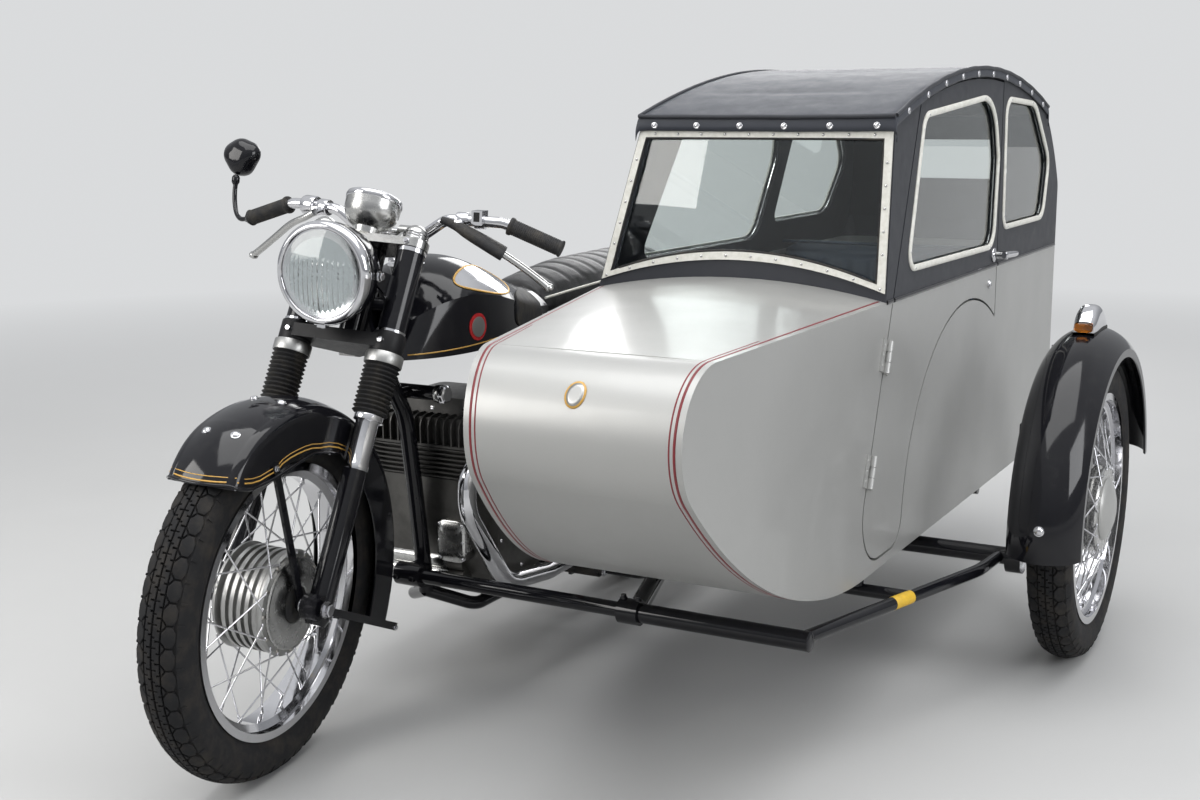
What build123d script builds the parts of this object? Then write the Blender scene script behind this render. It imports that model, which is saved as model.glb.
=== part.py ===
from build123d import *
import os
from math import asin, atan, cos, degrees, hypot, radians, sin, sqrt, tan

# Motorcycle with a two-window saloon sidecar on the rider's left, sizes in mm
# Laid out from the ground under the straight front wheel: x to the rider's left,
# y to the rear, z up. Every piece is moved by `to_centre` as it is written, so that
# the origin is the middle of the whole outfit's footprint.

# Wheels
wheelbase = 1422
track = 1174
sidecar_axle_y = 1347
tyre_r = 335
tyre_w = 92
rim_r = 255
rim_w = 80
bead_seat_r = 243
rim_well_r = 230
rim_wall = 3
spoke_r = 1.7
spoke_count = 40
spoke_lean = 36
hub_flange_r = 98
hub_w = 104
axle_r = 8.5
fit_gap = 0.05
seat_gap = 0.3

# Steering
rake = 27
steer_rest = 8.25
axle_to_stem = 50
leg_to_stem = 30
leg_spacing = 200
slider_r = 23
shroud_r = 27
slider_top = 369
gaiter_top = 488
crown_top = 700
yoke_h = 40
stem_r = 12.5
head_tube_r = 26

# Headlamp and instrument
lamp_y = 172
lamp_z = 912
lamp_r = 97
lamp_depth = 130
dial_r = 55

# Handlebar and mirror
bar_r = 11
grip_r = 16
bar_bend = (122, 432, 1003)
bar_end = (350, 470, 964)
grip_start = (236, 450, 1005)
mirror_x = 416
mirror_r = 54
lever_tip = (336, 455, 888)

# Front mudguard
guard_w = 144
guard_r = 372
guard_shoulder_r = 338
guard_lip_r = 276
guard_nose_r = 172
guard_nose_turn = 18
guard_nose_y = 216
guard_rear_angle = 114
guard_sheet = 3
stay_t = 6

# Bike
tank_w = 270
tank_front_y = 340
tank_rear_y = 850
tank_top_z = 905
tank_base_z = 728
tunnel_w = 50
tunnel_front_z = 876
tunnel_fall = 114 / 620
seat_front_y = 862
seat_rear_y = 1520
seat_w = 236
seat_base_z = 750
seat_edge_z = 820
seat_top_z = 862
engine_w = 290
engine_front_y = 500
engine_len = 260
crankcase_w = 250
gearbox_rear_y = 878
crankcase_base_z = 186
block_base_z = 452
head_joint_z = 520
head_top_z = 584
block_fins = 7
head_fins = 13
down_tube_r = 17
frame_tube_r = 14
rail_r = 11
cradle_z = 168
cradle_x = 82
stand_y = 985
stand_z = 138
stand_x = 66
stand_len = 126
stand_pin_r = 8
plunger_x = 116
plunger_r = 25
plunger_low_z = 262
plunger_high_z = 470
pipe_r = 19
pipe_x = 186
silencer_r = 42
rear_guard_w = 150
rear_guard_r = 376
chain_x = 70
chain_t = 8
chain_high = 8
sprocket_r = 74

# Sidecar body
body_x = 905
inner_x = 277
nose_inner_x = 529
nose_y = -120
nose_r = 120
nose_break = 45
screen_y = 772
body_rear_y = 2235
corner_r = 70
tail_r = 180
floor_z = 310
floor_t = 16
waist_z = 838
wall = 20
sheet = 5
cowl_rise = 34
header_y = 800
header_z = 1185
header_inner_x = 368
roof_peak_y = 1400
roof_peak_z = 1281
roof_rear_y = 1995
roof_rear_z = 1196
roof_sheet = 10
cant_rail = 16
post_w = 22
screen_sill_rise = 52
glass_t = 4
seat_box_y = 1190
seat_box_z = 440

# Door
door_lean = 20.3
door_gap = 5
door_foot_y = 631
door_foot_z = 335
door_rear_y = 1574
door_corner_r = 95
hinge_out = 7
door_arch_gap = 46
hinge_pin_r = 4

# Chassis
chassis_z = 258
chassis_r = 19
arm_r = 15
rail_side_r = 13
cross_y = 445
cross_end_x = 868
joint_x = 524
inner_rail_x = 400
pivot_y = 1150
pivot_x = 1050
side_guard_w = 150
side_guard_r = 400
side_guard_lip = 62

to_centre = Vector(
    -(track + side_guard_w / 2 - mirror_x - mirror_r) / 2,
    -(body_rear_y - tyre_r) / 2,
    0,
)
fork = Plane(origin=(0, 0, tyre_r), x_dir=(1, 0, 0), z_dir=(0, sin(radians(rake)), cos(radians(rake))))
leg_back = axle_to_stem - leg_to_stem
steer_axis = Axis(fork.from_local_coords((0, axle_to_stem, 0)), fork.z_dir)

os.makedirs("parts", exist_ok=True)


def write(piece, label, steered=False):
    """Turn a steered piece to its rest angle, move it to the common frame and write it."""
    solid = piece.part
    if steered:
        solid = solid.rotate(steer_axis, steer_rest)
    solid = solid.translate(to_centre)
    solid.label = label
    export_step(solid, f"parts/{label}.step")


def face_on(plane, points):
    """A face whose outline goes by lines to points, or by arcs to (middle, end) pairs."""
    with BuildSketch(plane) as outline:
        with BuildLine():
            here = points[0]
            for step in points[1:]:
                if isinstance(step[0], tuple):
                    ThreePointArc(here, step[0], step[1])
                    here = step[1]
                else:
                    Line(here, step)
                    here = step
            if here != points[0]:
                Line(here, points[0])
        make_face()
    return outline.sketch


def disc_on(centre, normal, radius):
    """A round face."""
    with BuildSketch(Plane(origin=centre, z_dir=normal)) as outline:
        Circle(radius)
    return outline.sketch


def turned(centre, along, across, points, mode=Mode.ADD):
    """A turned form, its outline given as (radius, distance along the axis)."""
    normal = Vector(*across).cross(Vector(*along))
    plane = Plane(origin=centre, x_dir=across, z_dir=normal)
    return revolve(face_on(plane, points), axis=Axis(centre, along), mode=mode)


def dome(radius, foot, crown):
    """The last step of a turned outline: a round cap from its rim at `foot` to the axis."""
    rise = crown - foot
    ball = (radius**2 + rise**2) / (2 * rise)
    half = atan(rise / radius)
    return ((ball * sin(half), crown - ball + ball * cos(half)), (0, crown))


def rod(start, end, radius, mode=Mode.ADD):
    """A straight round bar from one point to another."""
    span = Vector(*end) - Vector(*start)
    return extrude(disc_on(start, span, radius), amount=span.length, mode=mode)


def tube(points, radius, bends, mode=Mode.ADD):
    """A round bar through points, with an arc at each corner."""
    with BuildLine() as path:
        FilletPolyline(*points, radius=bends)
    return sweep(disc_on(path.line @ 0, path.line % 0, radius), path=path.line, mode=mode)


def plate(x, thickness, points, mode=Mode.ADD):
    """A flat plate seen from the side: points are (y, z), centred on x."""
    return extrude(face_on(Plane.YZ.offset(x), points), amount=thickness / 2, both=True, mode=mode)


def fork_point(x, back, up):
    """A point in the fork's own directions: across, behind the axle and up the legs."""
    return fork.from_local_coords((x, back, up))


def fork_plane(up):
    return Plane(origin=fork_point(0, 0, up), x_dir=(1, 0, 0), z_dir=fork.z_dir)


# Wheels: tyre, rim laced with spokes, hub
wheels = {
    # name: (centre x, centre y, steered, side of the brake drum)
    "front": (0, 0, True, 1),
    "rear": (0, wheelbase, False, -1),
    "sidecar": (track, sidecar_axle_y, False, -1),
}
bead_x = rim_w / 2 - rim_wall
for name, (wheel_x, wheel_y, steered, drum_side) in wheels.items():
    hub_centre = Vector(wheel_x, wheel_y, tyre_r)
    section = Plane(origin=hub_centre, x_dir=(1, 0, 0), z_dir=(0, -1, 0))
    spin = Axis(hub_centre, (1, 0, 0))

    crown_x = tyre_w * 0.4
    crown_r = tyre_r - 12
    wall_x = tyre_w / 2
    bead_foot = bead_x - seat_gap
    foot_r = bead_seat_r + seat_gap
    mid_r = (rim_r + crown_r) / 2
    with BuildPart() as tyre:
        revolve(face_on(section, [
            (-crown_x, crown_r),
            ((0, tyre_r), (crown_x, crown_r)),
            ((wall_x, mid_r + 6), (bead_foot, rim_r + 2)),
            (bead_foot, foot_r),
            (bead_foot - 8, foot_r),
            (bead_foot - 8, rim_r + 6),
            ((wall_x - 9, mid_r), (crown_x - 8, crown_r - 4)),
            (8 - crown_x, crown_r - 4),
            ((9 - wall_x, mid_r), (8 - bead_foot, rim_r + 6)),
            (8 - bead_foot, foot_r),
            (-bead_foot, foot_r),
            (-bead_foot, rim_r + 2),
            ((-wall_x, mid_r + 6), (-crown_x, crown_r)),
        ]), axis=spin)
    write(tyre, f"{name}_tyre", steered)

    well_x = 16
    ledge_x = 22
    with BuildPart() as rim:
        bed = [
            (rim_w / 2, rim_r),
            (bead_x, rim_r),
            (bead_x, bead_seat_r),
            (ledge_x, bead_seat_r),
            (well_x, rim_well_r),
        ]
        under = [
            (well_x + rim_wall, rim_well_r - rim_wall),
            (ledge_x + rim_wall, bead_seat_r - rim_wall),
            (rim_w / 2, bead_seat_r - rim_wall),
        ]
        across = bed + [(-x, r) for x, r in reversed(bed)]
        back = [(-x, r) for x, r in reversed(under)] + under
        revolve(face_on(section, across + back), axis=spin)
        for index in range(spoke_count):
            side = 1 if index % 2 else -1
            lean = spoke_lean if index % 4 < 2 else -spoke_lean
            rim_angle = radians(360 / spoke_count * index)
            hub_angle = rim_angle - radians(lean)
            foot_x = side * (hub_w / 2 + spoke_r + seat_gap)
            foot_r = hub_flange_r - 3
            head_r = rim_well_r - rim_wall / 2
            foot = hub_centre + Vector(foot_x, foot_r * cos(hub_angle), foot_r * sin(hub_angle))
            head = hub_centre + Vector(side * well_x / 2, head_r * cos(rim_angle), head_r * sin(rim_angle))
            rod(foot, head, spoke_r)
    write(rim, f"{name}_rim", steered)

    with BuildPart() as hub:
        half_w = hub_w / 2
        bore_r = axle_r + fit_gap
        ribs = 5
        pitch = (hub_w - 24) / ribs
        profile = [
            (bore_r, -half_w - 6),
            (30, -half_w - 6),
            (34, -half_w),
            (hub_flange_r - 4, -half_w),
            (hub_flange_r, -half_w + 4),
            (hub_flange_r, -half_w + 8),
        ]
        for rib in range(ribs):
            start = -half_w + 12 + rib * pitch
            profile += [(hub_flange_r - 12, start), (hub_flange_r - 12, start + pitch / 2)]
            profile += [(hub_flange_r - 3, start + pitch / 2), (hub_flange_r - 3, start + pitch)]
        profile += [
            (hub_flange_r, half_w - 8),
            (hub_flange_r, half_w - 4),
            (hub_flange_r - 4, half_w),
            (hub_flange_r - 12, half_w),
            ((hub_flange_r * 0.6, half_w + 6), (30, half_w + 8)),
            (bore_r, half_w + 8),
        ]
        turned(hub_centre, (drum_side, 0, 0), (0, 1, 0), profile)
        if name == "rear":
            turned(hub_centre, (1, 0, 0), (0, 1, 0), [
                (bore_r, half_w + 5), (42, half_w + 5), (42, chain_x - 3), (sprocket_r, chain_x - 3),
                (sprocket_r, chain_x + 3), (bore_r, chain_x + 3),
            ])
    write(hub, f"{name}_hub", steered)

# Fork: sliders with the axle, gaiters, shrouds with the lamp's ears, yokes with the stem
with BuildPart() as fork_sliders:
    for side in (-1, 1):
        turned(fork_point(side * leg_spacing / 2, leg_back, 0), fork.z_dir, (1, 0, 0), [
            (0, -30), (slider_r - 5, -30), (slider_r, -18), (slider_r, 266), (slider_r - 3, 270),
            (slider_r - 3, slider_top - 12), (slider_r + 4, slider_top - 12), (slider_r + 4, slider_top),
            (0, slider_top),
        ])
        rod((side * leg_spacing / 2 - 17, 0, tyre_r), (side * leg_spacing / 2 + 17, 0, tyre_r), 24)
    axle_reach = leg_spacing / 2 + 26
    rod((-axle_reach, 0, tyre_r), (axle_reach, 0, tyre_r), axle_r)
write(fork_sliders, "fork_sliders", True)

with BuildPart() as fork_gaiters:
    folds = 14
    low = slider_top + seat_gap
    high = gaiter_top - seat_gap
    pitch = (high - low) / folds
    bellows = [(slider_r - 9, low)]
    for fold in range(folds):
        bellows += [(slider_r + 7, low + fold * pitch), (slider_r + 12, low + (fold + 0.5) * pitch)]
    bellows += [(slider_r + 7, high), (slider_r - 9, high)]
    for side in (-1, 1):
        turned(fork_point(side * leg_spacing / 2, leg_back, 0), fork.z_dir, (1, 0, 0), bellows)
write(fork_gaiters, "fork_gaiters", True)

ear_x = lamp_r - 5
with BuildPart() as fork_shrouds:
    for side in (-1, 1):
        turned(fork_point(side * leg_spacing / 2, leg_back, 0), fork.z_dir, (1, 0, 0), [
            (0, gaiter_top + yoke_h + seat_gap), (shroud_r, gaiter_top + yoke_h + seat_gap),
            (shroud_r, crown_top - seat_gap), (0, crown_top - seat_gap),
        ])
        root = fork_point(0, leg_back, 610)
        plate(side * (ear_x + 3), 6, [
            (root.Y, root.Z + 30), (lamp_y + 34, lamp_z + 14), (lamp_y + 34, lamp_z - 14), (root.Y, root.Z - 34),
        ])
write(fork_shrouds, "fork_shrouds", True)

clamp_x = 34
bar_mid_y = 434
bar_mid_z = 966
with BuildPart() as fork_yokes:
    yokes = (
        # height up the fork, thickness
        (gaiter_top + 8, yoke_h - 16),
        (crown_top, 16),
    )
    for up, thickness in yokes:
        with BuildSketch(fork_plane(up)):
            for x, back, r in (
                (-leg_spacing / 2, leg_back, shroud_r + 3),
                (0, axle_to_stem, shroud_r + 7),
                (leg_spacing / 2, leg_back, shroud_r + 3),
            ):
                with Locations((x, back)):
                    Circle(r)
            make_hull()
        extrude(amount=thickness)
    for side in (-1, 1):
        leg = side * leg_spacing / 2
        rod(fork_point(leg, leg_back, gaiter_top), fork_point(leg, leg_back, gaiter_top + yoke_h), shroud_r + 4)
        turned(fork_point(leg, leg_back, crown_top + 16), fork.z_dir, (1, 0, 0), [
            (0, 0), (shroud_r - 2, 0), (shroud_r - 3, 14), dome(shroud_r - 3, 14, 34),
        ])
        rod(fork_point(side * clamp_x, axle_to_stem + 10, crown_top + 6), (side * clamp_x, bar_mid_y, bar_mid_z), 13)
        rod((side * clamp_x - 14, bar_mid_y, bar_mid_z), (side * clamp_x + 14, bar_mid_y, bar_mid_z), bar_r + 7)
        rod(
            (side * clamp_x - 15, bar_mid_y, bar_mid_z), (side * clamp_x + 15, bar_mid_y, bar_mid_z),
            bar_r + fit_gap, Mode.SUBTRACT,
        )
    stem_low = fork_point(0, axle_to_stem, gaiter_top + 8)
    rod(stem_low, fork_point(0, axle_to_stem, crown_top), stem_r)
    rod(fork_point(0, axle_to_stem, crown_top), fork_point(0, axle_to_stem, crown_top + 26), 14)
write(fork_yokes, "fork_yokes", True)

with BuildPart() as headlamp_shell:
    turned((0, lamp_y, lamp_z), (0, 1, 0), (1, 0, 0), [
        (0, 8), (lamp_r - 8, 8), (lamp_r - 8, 0), (lamp_r - 4, 0), (lamp_r + 1, 4), (lamp_r, 14),
        (lamp_r - 9, 16), dome(lamp_r - 9, 16, lamp_depth),
    ])
    for side in (-1, 1):
        rod((0, lamp_y + 46, lamp_z), (side * (ear_x - seat_gap), lamp_y + 46, lamp_z), 8)
write(headlamp_shell, "headlamp_shell", True)

with BuildPart() as headlamp_lens:
    turned((0, lamp_y, lamp_z), (0, 1, 0), (1, 0, 0), [
        (0, 8 - seat_gap), (lamp_r - 8 - seat_gap, 8 - seat_gap), (lamp_r - 8 - seat_gap, 2),
        dome(lamp_r - 8 - seat_gap, 2, -14),
    ])
write(headlamp_lens, "headlamp_lens", True)

with BuildPart() as speedometer:
    turned(fork_point(0, leg_back - 13, crown_top + 16), fork.z_dir, (1, 0, 0), [
        (0, seat_gap), (25, seat_gap), (27, 12), ((dial_r - 9, 28), (dial_r - 1, 50)), (dial_r, 70), (dial_r - 6, 76),
        (dial_r - 7, 72), (0, 72),
    ])
write(speedometer, "speedometer", True)

with BuildPart() as handlebar:
    half_bar = [(0, bar_mid_y, bar_mid_z), (70, bar_mid_y, bar_mid_z), bar_bend, grip_start, bar_end]
    whole_bar = [(-x, y, z) for x, y, z in reversed(half_bar[1:])] + half_bar[1:]
    tube(whole_bar, bar_r, [60, 45, 40, 40, 45, 60])
write(handlebar, "handlebar", True)

grip_run = (Vector(*bar_end) - Vector(*grip_start)).normalized()
with BuildPart() as hand_controls:
    for side in (-1, 1):
        def mirrored(point):
            """The point on this side of the bike."""
            return Vector(point.X * side, point.Y, point.Z)

        end = Vector(*bar_end)
        start = end - grip_run * 108
        rod(mirrored(start), mirrored(end + grip_run * 4), grip_r)
        run = (Vector(*grip_start) - Vector(*bar_bend)).normalized()
        perch = Vector(*bar_bend) + run * 34
        rod(mirrored(perch - run * 11), mirrored(perch + run * 11), bar_r + 5)
        tube([
            mirrored(perch + Vector(0, -8, -4)), mirrored(perch + Vector(4, -34, -8)),
            mirrored(Vector(208, 408, 974)), mirrored(Vector(266, 436, 938)), mirrored(Vector(*lever_tip)),
        ], 5.5, [14, 60, 60])
        rod(mirrored(perch - run * 12), mirrored(perch + run * 12), bar_r + fit_gap, Mode.SUBTRACT)
        rod(mirrored(start - grip_run), mirrored(end + grip_run * fit_gap), bar_r + fit_gap, Mode.SUBTRACT)
write(hand_controls, "hand_controls", True)

with BuildPart() as mirror:
    cap = Vector(-bar_end[0], bar_end[1], bar_end[2]) + Vector(-grip_run.X, grip_run.Y, grip_run.Z) * (4 + seat_gap)
    head = Vector(-mirror_x, 538, 1070)
    ball = head + Vector(-mirror_r + 18, -18, -20)
    tube([cap, (cap.X - 30, cap.Y + 6, cap.Z - 4), (ball.X - 4, 512, 990), ball], 4.5, [18, 60])
    with BuildSketch(Plane(origin=head, x_dir=(-1, 0, 0), z_dir=(0, -1, 0))) as mirror_outline:
        Polygon((0, mirror_r), (-mirror_r, -34), (6, -mirror_r), (mirror_r, -26), align=None)
        fillet(mirror_outline.vertices(), 20)
    extrude(mirror_outline.sketch, amount=8)
    extrude(Plane(head + Vector(0, -8, 0), x_dir=(-1, 0, 0), z_dir=(0, -1, 0)) * mirror_outline.sketch_local, 22, taper=42)
write(mirror, "mirror", True)

with BuildPart() as front_mudguard:
    half_w = guard_w / 2

    def guard_skin(turn):
        """The guard's section, turned forwards about the axle."""
        lean = radians(turn)
        inner = half_w - guard_sheet
        return face_on(Plane(origin=(0, 0, tyre_r), x_dir=(1, 0, 0), z_dir=(0, -cos(lean), -sin(lean))), [
            (-half_w, guard_lip_r), (-half_w, guard_shoulder_r), ((5 - half_w, 354), (20 - half_w, 362)),
            ((0, guard_r), (half_w - 20, 362)), ((half_w - 5, 354), (half_w, guard_shoulder_r)), (half_w, guard_lip_r),
            (inner, guard_lip_r), (inner, guard_shoulder_r), ((inner - 5, 351.5), (inner - 18, 359)),
            ((0, guard_r - guard_sheet), (18 - inner, 359)), ((5 - inner, 351.5), (-inner, guard_shoulder_r)),
            (-inner, guard_lip_r),
        ])

    revolve(guard_skin(0), axis=Axis((0, 0, tyre_r), (-1, 0, 0)), revolution_arc=guard_rear_angle)
    revolve(guard_skin(0), axis=Axis((0, 0, tyre_r), (1, 0, 0)), revolution_arc=guard_nose_turn)
    nose_arm = guard_r - guard_nose_r
    nose_lean = radians(guard_nose_turn)
    nose_centre = (0, -nose_arm * sin(nose_lean), tyre_r + nose_arm * cos(nose_lean))
    revolve(guard_skin(guard_nose_turn), axis=Axis(nose_centre, (1, 0, 0)), revolution_arc=80)
    plate(0, guard_w + 2, [
        (-450, 602), (-guard_nose_y, 602), ((-166, 590), (-112, 590)), (60, 598), (130, 590), (190, 536),
        (190, 380), (-450, 380),
    ], Mode.SUBTRACT)
    for side in (-1, 1):
        stay_x = side * (half_w + stay_t / 2 - 1.5)
        boss_end = side * (leg_spacing / 2 - slider_r - 1 - seat_gap)
        plate(stay_x, stay_t, [(-8, tyre_r), (-98, 616), (-82, 620), (8, tyre_r)])
        plate(stay_x, stay_t, [(0, tyre_r - 8), (352, 168), (360, 182), (0, tyre_r + 8)])
        rod((side * half_w, 0, tyre_r), (boss_end, 0, tyre_r), 14)
        rod((side * (half_w - 2), 0, tyre_r), (boss_end + 3 * side, 0, tyre_r), axle_r + fit_gap, Mode.SUBTRACT)
write(front_mudguard, "front_mudguard", True)

# Bike frame: head tube, top tube, down tube, cradle, seat tube, rails and plunger lugs
def tunnel_roof(y):
    """Height of the tunnel that the tank has over the top tube."""
    return tunnel_front_z - (y - 300) * tunnel_fall


head_low = gaiter_top + yoke_h + 2
rail_z = seat_base_z - rail_r - seat_gap
seat_lug = (0, 892, 726)
foot_lug = (0, 508, 205)
with BuildPart() as bike_frame:
    rod(fork_point(0, axle_to_stem, head_low), fork_point(0, axle_to_stem, crown_top - 2), head_tube_r)
    rod((0, 318, 842), seat_lug, frame_tube_r)
    tube([(0, 308, 822), (0, 452, 592), (0, 474, 452), foot_lug], down_tube_r, [120, 200])
    rod(seat_lug, (0, 905, cradle_z - 6), down_tube_r)
    for side in (-1, 1):
        tube([
            foot_lug, (side * cradle_x, 570, cradle_z), (side * cradle_x, 1010, cradle_z),
            (side * plunger_x, wheelbase - 10, plunger_low_z - 16),
        ], frame_tube_r, [40, 120])
        tube([seat_lug, (side * 85, 970, rail_z), (side * 85, 1470, rail_z)], rail_r, [60])
        for top_y in (1120, 1450):
            rod((side * 85, top_y, rail_z - 2), (side * plunger_x, wheelbase, plunger_high_z + 14), rail_r)
        for low, high in ((plunger_low_z - 24, plunger_low_z), (plunger_high_z, plunger_high_z + 20)):
            rod((side * plunger_x, wheelbase, low), (side * plunger_x, wheelbase, high), plunger_r - 4)
    for y in (905, 1010):
        rod((-cradle_x, y, cradle_z), (cradle_x, y, cradle_z), rail_r)
    for side in (-1, 1):
        plate(side * (cradle_x + 2), 8, [(955, cradle_z), (1015, cradle_z), (1000, stand_z - 14), (970, stand_z - 14)])
    rod((-120, stand_y, stand_z), (120, stand_y, stand_z), stand_pin_r + fit_gap, Mode.SUBTRACT)
    for y in (420, 790):
        plate(0, tunnel_w - 10, [
            (y - 16, tunnel_roof(y) - 60), (y - 16, tunnel_roof(y - 16) - seat_gap),
            (y + 16, tunnel_roof(y + 16) - seat_gap), (y + 16, tunnel_roof(y) - 60),
        ])
    for side in (-1, 1):
        for y in (606, 676):
            plate(side * cradle_x, 20, [
                (y, cradle_z), (y, crankcase_base_z - seat_gap), (y + 34, crankcase_base_z - seat_gap), (y + 34, cradle_z),
            ])
    plate(0, 30, [
        (gearbox_rear_y + seat_gap, 300), (gearbox_rear_y + seat_gap, 350), (900, 350), (900, 300),
    ])
    rod((0, 430, 640), (0, 482, 640), 12)
    rod((-60, 474, 640), (64, 474, 640), 15)
    rod((64, 474, 640), (84, 474, 640), 18)
    rod((0, 500, chassis_z), (0, cross_y, chassis_z), 20)
    rod((-22, cross_y, chassis_z), (38, cross_y, chassis_z), 24)
    rod(fork_point(0, axle_to_stem, head_low - 1), fork_point(0, axle_to_stem, crown_top - 1), stem_r + fit_gap, Mode.SUBTRACT)
write(bike_frame, "bike_frame")

with BuildPart() as plunger_units:
    for side in (-1, 1):
        x = side * plunger_x
        turned((x, wheelbase, 0), (0, 0, 1), (1, 0, 0), [
            (0, plunger_low_z), (plunger_r - 4, plunger_low_z), (plunger_r - 4, 306), (plunger_r + 5, 306),
            (plunger_r + 5, 366), (plunger_r, 368), (plunger_r, plunger_high_z), (0, plunger_high_z),
        ])
    rod((-plunger_x - 44, wheelbase, tyre_r), (plunger_x + 44, wheelbase, tyre_r), axle_r)
write(plunger_units, "plunger_units")

# Engine: crankcase with gearbox and primary case, finned block, finned head, carburettor
engine_rear_y = engine_front_y + engine_len
with BuildPart() as crankcase:
    plate(0, crankcase_w, [
        (engine_front_y + 10, block_base_z), (engine_rear_y, block_base_z), (engine_rear_y + 8, 424),
        (gearbox_rear_y, 424), (gearbox_rear_y, 232), (740, 214), (720, crankcase_base_z),
        (596, crankcase_base_z), (564, 240), ((526, 300), (engine_front_y + 10, 380)),
    ])
    for z in (232, 264, 296):
        rod((-crankcase_w / 2 + 20, 550, z), (crankcase_w / 2 - 50, 550, z), 18)
    plate(crankcase_w / 2 + 12, 24, [
        (640, 236), ((560, 316), (640, 396)), (830, 402), ((890, 330), (830, 240)),
    ])
    plate(-crankcase_w / 2 - 10, 20, [
        (560, 250), ((524, 330), (560, 410)), (720, 410), ((752, 330), (720, 250)),
    ])
    with BuildSketch(Plane(origin=(74, 556, 324), x_dir=(1, 0, 0), z_dir=(0, -1, 0))):
        RectangleRounded(72, 90, 18)
    cover = extrude(amount=60)
    fillet(cover.faces().sort_by(Axis.Y)[0].edges(), 7)
write(crankcase, "crankcase")

with BuildPart() as cylinder_block:
    pitch = (head_joint_z - block_base_z) / block_fins
    with BuildSketch(Plane.XY.offset(block_base_z)):
        with Locations((0, (engine_front_y + engine_rear_y) / 2)):
            RectangleRounded(engine_w - 30, engine_len - 30, 40)
    extrude(amount=head_joint_z - block_base_z)
    for fin in range(block_fins):
        with BuildSketch(Plane.XY.offset(block_base_z + fin * pitch + pitch / 2)):
            with Locations((0, (engine_front_y + engine_rear_y) / 2)):
                RectangleRounded(engine_w, engine_len, 46)
        extrude(amount=3)
write(cylinder_block, "cylinder_block")

with BuildPart() as cylinder_head:
    middle_y = (engine_front_y + engine_rear_y) / 2
    with BuildSketch(Plane.XY.offset(head_joint_z)):
        with Locations((0, middle_y)):
            RectangleRounded(engine_w - 34, engine_len - 34, 36)
    extrude(amount=head_top_z - head_joint_z - 6)
    with BuildSketch(Plane.XY.offset(head_joint_z)):
        with Locations((0, middle_y)):
            RectangleRounded(engine_w, engine_len, 44)
    extrude(amount=5)
    fin_gap = (engine_w - 60) / (head_fins - 1)
    for fin in range(head_fins):
        x = -engine_w / 2 + 30 + fin * fin_gap
        plate(x, 3, [
            (engine_front_y + 1, head_joint_z + 3), (engine_front_y + 1, head_top_z - 25),
            ((engine_front_y + 8.3, head_top_z - 7.3), (engine_front_y + 26, head_top_z)),
            (engine_rear_y - 26, head_top_z),
            ((engine_rear_y - 8.3, head_top_z - 7.3), (engine_rear_y - 1, head_top_z - 25)),
            (engine_rear_y - 1, head_joint_z + 3),
        ])
    with BuildSketch(Plane.XY.offset(head_top_z - 8)):
        with Locations((0, middle_y)):
            RectangleRounded(engine_w - 110, engine_len - 90, 24)
    extrude(amount=40, taper=8)
write(cylinder_head, "cylinder_head")

with BuildPart() as carburettor:
    rod((0, engine_rear_y + seat_gap, 552), (0, engine_rear_y + 46, 556), 17)
    rod((0, engine_rear_y + 34, 500), (0, engine_rear_y + 34, 640), 26)
    rod((0, engine_rear_y + 46, 562), (0, engine_rear_y + 84, 564), 30)
    rod((46, engine_rear_y + 34, 492), (46, engine_rear_y + 34, 560), 24)
write(carburettor, "carburettor")

with BuildPart() as exhausts:
    for side in (-1, 1):
        tube([
            (side * (engine_w / 2 + seat_gap), 540, 500), (side * (pipe_x - 12), 540, 500),
            (side * (pipe_x - 14), 418, 512), (side * (pipe_x - 14), 412, 420), (side * (pipe_x - 4), 536, 240),
            (side * pipe_x, 700, 222), (side * pipe_x, 1010, 232),
        ], pipe_r, [28, 44, 90, 90, 200])
        turned((side * pipe_x, 1010, 232), (0, 1, 0.04), (1, 0, 0), [
            (0, 0), (pipe_r + 2, 0), ((silencer_r - 6, 60), (silencer_r, 150)), (silencer_r, 560),
            ((silencer_r - 8, 640), (pipe_r + 2, 690)), (pipe_r + 2, 720), (pipe_r - 2, 720), (pipe_r - 2, 640), (0, 640),
        ])
write(exhausts, "exhausts")

# Tank, seat, mudguard and other fittings
with BuildPart() as fuel_tank:
    tank_sections = (
        # y at the base, lean back in degrees, width, shoulder height, top height
        (tank_front_y, rake, 150, 84, 112),
        (tank_front_y + 70, 16, 244, 112, 172),
        (tank_front_y + 300, 0, tank_w, 92, 166),
        (tank_rear_y, 0, 206, 52, 96),
    )
    for base_y, lean, width, shoulder, top in tank_sections:
        plane = Plane(
            origin=(0, base_y, tank_base_z), x_dir=(1, 0, 0), z_dir=(0, -cos(radians(lean)), sin(radians(lean)))
        )
        with BuildSketch(plane):
            with BuildLine():
                Line((-width / 2, 0), (width / 2, 0))
                Line((width / 2, 0), (width / 2, shoulder))
                ThreePointArc((width / 2, shoulder), (0, top), (-width / 2, shoulder))
                Line((-width / 2, shoulder), (-width / 2, 0))
            make_face()
    loft()
    plate(0, tunnel_w, [
        (200, 600), (920, 600), (920, tunnel_roof(920)), (300, tunnel_roof(300)), (200, tunnel_roof(300)),
    ], Mode.SUBTRACT)
    rod((0, 470, tank_top_z - 40), (0, 470, tank_top_z + 14), 34)
write(fuel_tank, "fuel_tank")

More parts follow.
